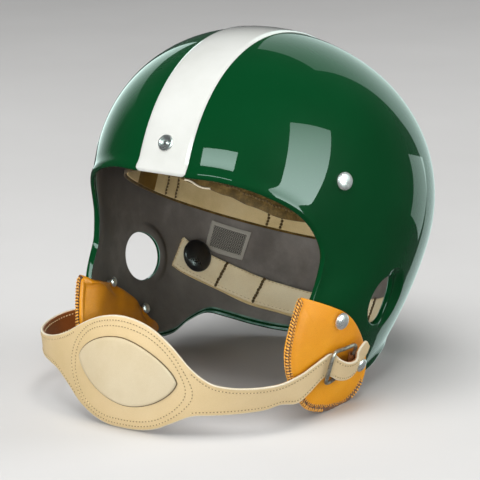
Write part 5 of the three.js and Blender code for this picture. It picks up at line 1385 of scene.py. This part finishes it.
FREE_ROWS = np.array([
    (82.0, -103.0, 16.5, 32.0, 3.6, 0), (76.4, -113.6, 14.9, 31.4, 3.0, 0), (69.6, -123.6, 14.7, 31.8, 2.2, 0),
    (61.6, -132.5, 14.6, 33.1, 1.4, 0), (52.6, -140.3, 14.6, 36.5, 0.6, 0.2), (42.3, -146.5, 13.9, 45.7, 0, 1),
    (31.1, -150.7, 8.6, 59.2, 0, 2.4), (19.4, -153.5, 3.2, 68.8, 0, 4.2), (7.5, -155.0, 0.7, 73.5, 0, 5.4),
    (-4.5, -155.7, 0.2, 74.8, 0, 6), (-16.5, -155.8, 0.7, 73.0, 0, 5.4), (-28.5, -154.9, 4.1, 68.6, 0, 4.2),
    (-40.3, -152.9, 10.0, 62.1, 0, 2.6), (-52.0, -150.1, 19.5, 55.1, 0, 1), (-63.3, -146.2, 26.0, 50.1, 0.4, 0.2),
    (-74.1, -141.1, 28.0, 46.7, 0.8, 0), (-84.2, -134.6, 28.6, 45.0, 1.2, 0), (-92.3, -125.7, 28.6, 44.6, 1.6, 0),
    (-98.0, -115.2, 28.6, 44.2, 2, 0), (-101.4, -103.7, 28.6, 44.2, 2.4, 0), (-102.8, -91.8, 28.6, 44.2, 3, 0),
    (-101.8, -79.8, 28.6, 44.0, 3.6, 0), (-99.0, -68.0, 27.8, 42.8, 4.2, 0),
])


def pad_rows(rows, side):
    high = over_plain(direction(side * rows[:, 0], rows[:, 1]), rows[:, 2])
    low = over_plain(direction(side * rows[:, 3], rows[:, 4]), rows[:, 5])
    return np.column_stack([low, high, np.zeros(len(rows))])


def free_rows(rows):
    plan = rows[:, :2]
    before = np.vstack([plan[:1], plan[:-1]])
    after = np.vstack([plan[1:], plan[-1:]])
    along = unit(after - before)
    out = np.column_stack([along[:, 1], -along[:, 0]]) * rows[:, 4:5] / 2
    low = np.column_stack([plan + out, rows[:, 2]])
    high = np.column_stack([plan - out, rows[:, 3]])
    return np.column_stack([low, high, rows[:, 5]])


STRAP = np.vstack([pad_rows(LEFT_ROWS, 1), free_rows(FREE_ROWS), pad_rows(RIGHT_ROWS, -1)])
LAST = len(STRAP) - 1


def strap_flat(row, part):
    at = open_spline(STRAP, row / LAST)
    point = at[..., :3] + (at[..., 3:6] - at[..., :3]) * part[..., None]
    return point, at[..., 6] * (1 - (2 * part - 1) ** 2)


def strap_point(row, part, offset):
    row, part = np.broadcast_arrays(np.asarray(row, float), np.asarray(part, float))
    before, _ = strap_flat(np.maximum(row - 0.05, 0), part)
    after, _ = strap_flat(np.minimum(row + 0.05, LAST), part)
    bottom, _ = strap_flat(row, part * 0)
    top, _ = strap_flat(row, part * 0 + 1)
    normal = unit(np.cross(top - bottom, after - before))
    point, bulge = strap_flat(row, part)
    return point + normal * np.asarray(bulge + offset)[..., None]


def strap_width(row):
    row = np.atleast_1d(np.asarray(row, float))
    low, _ = strap_flat(row, row * 0)
    high, _ = strap_flat(row, row * 0 + 1)
    return np.linalg.norm(high - low, axis=-1)


# The stitched ring round the cup: rows from end to end and the inset from the edges
CUP_RINGS = ((16.9, 24.4, 3.0), (17.25, 24.05, 6.4))


def cup_ring(first, last, inset, count=220):
    angle = np.arange(count) * 2 * math.pi / count
    row = (first + last) / 2 + (last - first) / 2 * np.cos(angle)
    across = np.cos(angle)
    width = strap_width(row)
    shape = (1 - np.abs(across) ** 7) ** 0.5
    half = np.maximum(width / 2 - inset, 1.0) * shape
    part = 0.5 + np.sign(np.sin(angle)) * half / width
    return row, part


def strap_line(first, last, upper, inset, count=160):
    row = np.linspace(first, last, count)
    width = strap_width(row)
    return row, np.where(upper, 1 - inset / width, inset / width)


def sew(build, row, part, offset, pitch, slot, closed=False, size=(1.5, 0.5, 0.35), ahead=0.0):
    """A row of stitches on the strap; ahead moves it on by a part of the pitch."""
    line = strap_point(row, part, offset)
    up = strap_point(row, part, offset + math.copysign(1, offset)) - line
    spot, tangent, out = spaced(line, up, pitch, closed)
    stitches(build, spot + unit(tangent) * pitch * ahead, tangent, out, *size, slot)


def make_strap():
    build = Build()
    rows = np.concatenate([np.linspace(0, 0.16, 5), np.linspace(0.2, LAST, 330)])
    widths = strap_width(rows)
    rings = []
    for row, width in zip(rows, widths):
        section = section_ring(width, STRAP_THICKNESS, 18, 0.75)
        part = section[:, 0] / width
        trim = max(0.0, 1 - row / 0.16) * 0.12
        part = trim + part * (1 - 2 * trim)
        height = section[:, 1]
        inset = np.minimum(part, 1 - part) * width
        on_top = height > 0
        groove = 0.16 * np.exp(-((inset - 3.0) / 0.7) ** 2) * on_top if row > 1 else 0
        rings.append(strap_point(np.full(len(part), row), part, height - groove))
    pale = np.zeros(len(rings[0]), int)
    pale[18:23] = 2
    pale[41:] = 2
    loft(build, np.array(rings), pale)
    top = STRAP_THICKNESS / 2 + 0.02
    for first, last, inset in CUP_RINGS:
        row, part = cup_ring(first, last, inset)
        # dark spots painted as the shade in the needle holes, with the cream thread between them
        sew(build, row, part, top, 2.25, 1, True, (1.0, 0.8, 0.3))
        sew(build, row, part, top, 2.25, 3, True, (1.1, 0.6, 0.5), 0.5)
    for first, last in ((2.6, 6.6), (8.4, 17.0), (24.3, LAST - 3)):
        for upper, inset in ((True, 3.1), (False, 2.6)):
            row, part = strap_line(first, last, upper, inset)
            # the same painted hole shade and cream thread along the strap's edges
            sew(build, row, part, top, 2.25, 1, False, (1.0, 0.78, 0.3))
            sew(build, row, part, top, 2.25, 3, False, (1.1, 0.6, 0.5), 0.5)
    obj = build.done("leather_chin_strap", [CREAM, HOLE_SHADE, EDGE_CREAM, CREAM_THREAD], 70)
    return dress(obj, "strap_leather", "chin_strap")


def make_lining():
    build = Build()
    offset = -STRAP_THICKNESS / 2 - 0.12 - LINING_THICKNESS / 2
    rows = np.linspace(2, LAST, 300)
    rings = []
    for row, width in zip(rows, strap_width(rows)):
        section = section_ring(width - 1.2, LINING_THICKNESS, 10, 0.3)
        part = (section[:, 0] + 0.6) / width
        rings.append(strap_point(np.full(len(part), row), part, offset + section[:, 1]))
    loft(build, np.array(rings))
    under = offset - LINING_THICKNESS / 2 - 0.02
    for first, last in ((4, 17), (24.3, LAST - 2)):
        for upper in (True, False):
            row, part = strap_line(first, last, upper, 3.0)
            sew(build, row, part, under, 2.9, 1, False, (1.6, 0.8, 0.5))
    for first, last, inset in CUP_RINGS:
        row, part = cup_ring(first, last, inset)
        sew(build, row, part, under, 2.4, 1, True, (1.5, 0.5, 0.35))
    obj = build.done("strap_inner_leather", [BROWN, CREAM_THREAD], 70)
    return dress(obj, "lining", "strap_lining")


make_strap()
make_lining()

# The stitched oval on the cup

PANEL_OVAL = {"row": 20.65, "half": 2.95, "height": 39.7, "rise": 21.8, "slope": 1.2, "reach": 1.8, "blunting": 0.7}


def panel_point(angle, part, offset):
    p = PANEL_OVAL
    across = np.cos(angle)
    rise = np.sign(np.sin(angle)) * np.maximum(0, 1 - np.abs(across) ** p["reach"]) ** p["blunting"]
    row = p["row"] + part * p["half"] * across
    z = p["height"] + p["slope"] * (row - p["row"]) + part * p["rise"] * rise
    low, _ = strap_flat(row, row * 0)
    high, _ = strap_flat(row, row * 0 + 1)
    return strap_point(row, (z - low[..., 2]) / (high[..., 2] - low[..., 2]), offset)


def make_cup_panel():
    build = Build()
    spokes = 168
    angle = np.arange(spokes) * 2 * math.pi / spokes
    base = STRAP_THICKNESS / 2
    # part of the way out, and height over the strap
    profile = [(0.97, 0.05), (0.992, 0.35), (1.0, 0.75), (0.994, 1.15), (0.975, 1.45), (0.95, 1.6), (0.92, 1.66),
               (0.86, 1.68), (0.78, 1.7), (0.68, 1.74), (0.56, 1.78), (0.42, 1.82), (0.27, 1.84), (0.12, 1.85)]
    rings = []
    for part, height in profile:
        where = panel_point(angle, part, base + height)
        ripple = 0.12 * smooth_noise(where, 24, 31) * (1 if part < 0.93 else 0)
        rings.append(panel_point(angle, part, base + height + ripple))
    loft(build, np.array(rings))
    # a thin dark tube painted as the shade line where the oval is sewn down
    shade_line = panel_point(angle, 1.004, base + 0.28)
    along = unit(np.roll(shade_line, -1, axis=0) - np.roll(shade_line, 1, axis=0))
    up = unit(panel_point(angle, 1.004, base + 1.28) - shade_line)
    beside = np.cross(along, up)
    turn = bead_ring(8)
    tube = shade_line[:, None] + 0.5 * (np.cos(turn)[None, :, None] * beside[:, None] + np.sin(turn)[None, :, None] * up[:, None])
    ids = build.add(tube)
    build.grid(np.concatenate([ids, ids[:1]]), around=True, slot=1)
    obj = build.done("cup_oval", [PANEL, SEAM_SHADE_LINE], None)
    return dress(obj, "strap_leather", "cup_panel")


make_cup_panel()

# The buckle: azimuth, elevation and height over the shell along its wire

BUCKLE_LOOP = np.array([
    (55.1, -34.6, 8.5), (54.3, -37.2, 8.5), (53.6, -40.0, 8.3), (54.0, -41.2, 7.8), (56.4, -42.8, 6.2), (60.4, -43.4, 5.8),
    (63.8, -43.6, 6.2), (65.2, -42.6, 6.7), (66.0, -39.4, 6.8), (66.4, -36.8, 7.0), (65.0, -35.6, 7.0), (61.0, -35.4, 6.2),
    (58.0, -34.6, 6.6), (56.2, -33.8, 8.0),
])
WIRE_RADIUS = 1.25


def make_buckle():
    knots = over_plain(direction(BUCKLE_LOOP[:, 0], BUCKLE_LOOP[:, 1]), BUCKLE_LOOP[:, 2])
    steps = 180
    t = np.arange(steps) / steps
    middle = spline(knots, t)
    along = unit(spline(knots, t + 0.004) - spline(knots, t - 0.004))
    normal = shell_normal(direction(np.array([60.0]), np.array([-38.5])))[0]
    side = unit(np.cross(along, normal))
    up = np.cross(side, along)
    angle = bead_ring(16)
    rings = middle[:, None] + WIRE_RADIUS * (np.cos(angle)[None, :, None] * side[:, None] + np.sin(angle)[None, :, None] * up[:, None])
    build = Build()
    ids = build.add(rings)
    build.grid(np.concatenate([ids, ids[:1]]), around=True)
    return dress(build.done("buckle_wire", [WIRE]), "metal", "buckle_frame")


# azimuth and height over the shell along the keeper's middle
KEEPER = np.array([(73.4, 7.2), (70.6, 6.0), (67.6, 5.3), (65.6, 5.2), (64.2, 5.9), (63.9, 6.9), (64.5, 7.9), (65.4, 8.3)])


def make_keeper():
    path = open_spline(KEEPER, np.linspace(0, 1, 50))
    part = np.linspace(0, 1, 9)
    azimuth = np.repeat(path[:, :1], 9, axis=1)
    height = np.repeat(path[:, 1:], 9, axis=1)
    fall = np.maximum((azimuth - 65) * 0.62, 0)
    grid = over_plain(direction(azimuth, -41.6 + 3.6 * part - fall), height)
    normal = unit(np.cross(np.gradient(grid, axis=0), np.gradient(grid, axis=1)))
    thick = np.full(azimuth.shape, 0.5)
    thick[:, [0, -1]] = 0.3
    build = Build()
    upper = build.add(grid + normal * thick[..., None])
    lower = build.add(grid - normal * thick[..., None])
    build.grid(upper)
    build.grid(lower, flip=True)
    for row, flip in ((0, True), (-1, False)):
        build.grid(np.array([upper[row], lower[row]]), flip=flip)
    for column, flip in ((0, False), (-1, True)):
        build.grid(np.array([upper[:, column], lower[:, column]]), flip=flip)
    return dress(build.done("keeper_loop", [BROWN], 60), "lining", "buckle_keeper")


make_buckle()
make_keeper()


# The floor, the lights and the camera


def make_floor():
    mat = material("pale_floor", (0.58, 0.575, 0.565), 0.9)
    mat.node_tree.nodes["Principled BSDF"].inputs["Specular IOR Level"].default_value = 0
    cloud = noise(mat, 3, 4)
    color_of(mat, ramp(mat, cloud, "Fac", [(0.3, (0.56, 0.555, 0.545)), (0.7, (0.595, 0.59, 0.58))]))
    bump_of(mat, [(noise(mat, 240, 3), "Fac", 0.05, 0.0005)])
    mesh = bpy.data.meshes.new("floor")
    size = 6.0
    mesh.from_pydata([(-size, -size, 0), (size, -size, 0), (size, size, 0), (-size, size, 0)], [], [(0, 1, 2, 3)])
    mesh.materials.append(mat)
    floor = bpy.data.objects.new("floor", mesh)
    bpy.context.scene.collection.objects.link(floor)
    # the gloss mirrors the dark room and the windows, as in the photograph, and not the pale floor
    floor.visible_glossy = False


def area_light(name, azimuth, elevation, distance, width, height, radiance, fade=None, roll=0):
    """A soft box that looks at the helmet; fade gives its brightness from foot to top."""
    target = np.array([0.0, 0.0, 0.13])
    position = target + direction(np.array(float(azimuth)), np.array(float(elevation))) * distance
    data = bpy.data.lights.new(name, "AREA")
    data.shape = "RECTANGLE"
    data.size, data.size_y = width, height
    data.energy = radiance * math.pi * width * height
    if fade:
        data.use_nodes = True
        tree = data.node_tree
        emission = tree.nodes["Emission"]
        place = tree.nodes.new("ShaderNodeNewGeometry")
        split = tree.nodes.new("ShaderNodeSeparateXYZ")
        level = tree.nodes.new("ShaderNodeMapRange")
        level.inputs["To Min"].default_value, level.inputs["To Max"].default_value = fade
        tree.links.new(place.outputs["Parametric"], split.inputs[0])
        tree.links.new(split.outputs[1], level.inputs[0])
        tree.links.new(level.outputs[0], emission.inputs["Strength"])
    light = bpy.data.objects.new(name, data)
    back = unit(position - target)
    level_right = unit(np.cross([0, 0, 1], back))
    lean = math.radians(roll)
    right = level_right * math.cos(lean) - np.cross(back, level_right) * math.sin(lean)
    up = np.cross(back, right)
    matrix = Matrix.Identity(4)
    for row in range(3):
        matrix[row][0], matrix[row][1], matrix[row][2], matrix[row][3] = right[row], up[row], back[row], position[row]
    light.matrix_world = matrix
    bpy.context.scene.collection.objects.link(light)
    return light


# name, azimuth, elevation, distance, width, height, radiance, fade from foot to top
WINDOWS = (
    ("front_window", 8, 31.5, 1.6, 0.72, 0.21, 15.5, (1.15, 0.85)),
    ("side_window", 79, 24, 1.6, 0.83, 1.36, 15, (1.35, 0.45), 28),
    ("edge_window", -113, 8, 1.6, 0.95, 1.16, 1.15, (1.9, 0.05), 90),
    ("rear_window", -170, 10, 1.9, 1.2, 3.4, 1.0, (0.8, 1.25)),
    ("rim_window", 165, -9, 1.9, 0.55, 0.62, 1.3, (0.9, 1.1), 20),
)
FILLS = (
    ("front_fill", 22, 9, 3.6, 2.6, 1.6, 6.1),
    ("left_fill", -30, 16, 3.4, 1.6, 1.3, 5.8),
    ("side_fill", 134, 18, 3.4, 1.7, 1.5, 8.5),
    ("top_fill", 10, 76, 2.6, 1.9, 1.9, 7.0),
)
WINDOW_TINT = (0.78, 1.0, 0.95)


def make_lights():
    world = bpy.data.worlds.new("studio")
    world.use_nodes = True
    world.node_tree.nodes["Background"].inputs["Color"].default_value = (0.55, 0.57, 0.6, 1)
    world.node_tree.nodes["Background"].inputs["Strength"].default_value = 0.12
    bpy.context.scene.world = world
    # the windows are seen in the gloss, and the fills light everything softly
    for window in WINDOWS:
        light = area_light(*window)
        light.visible_diffuse = light.visible_camera = False
        light.data.color = WINDOW_TINT
    for fill in FILLS:
        light = area_light(*fill)
        light.visible_glossy = light.visible_camera = False


def make_camera():
    data = bpy.data.cameras.new("camera")
    data.lens = 165.9
    data.sensor_width = 36
    data.clip_end = 50
    camera = bpy.data.objects.new("camera", data)
    right, up, back = (0.8295, 0.5586, 0.0), (-0.1406, 0.2089, 0.9678), (0.5406, -0.8027, 0.2518)
    position = (np.array([802.1, -1219.7, 470.6]) + ORIGIN) * MM
    matrix = Matrix.Identity(4)
    for row in range(3):
        matrix[row][0], matrix[row][1], matrix[row][2], matrix[row][3] = right[row], up[row], back[row], position[row]
    camera.matrix_world = matrix
    bpy.context.scene.collection.objects.link(camera)
    bpy.context.scene.camera = camera


make_floor()
make_lights()
make_camera()
bpy.context.scene.view_settings.view_transform = "Standard"
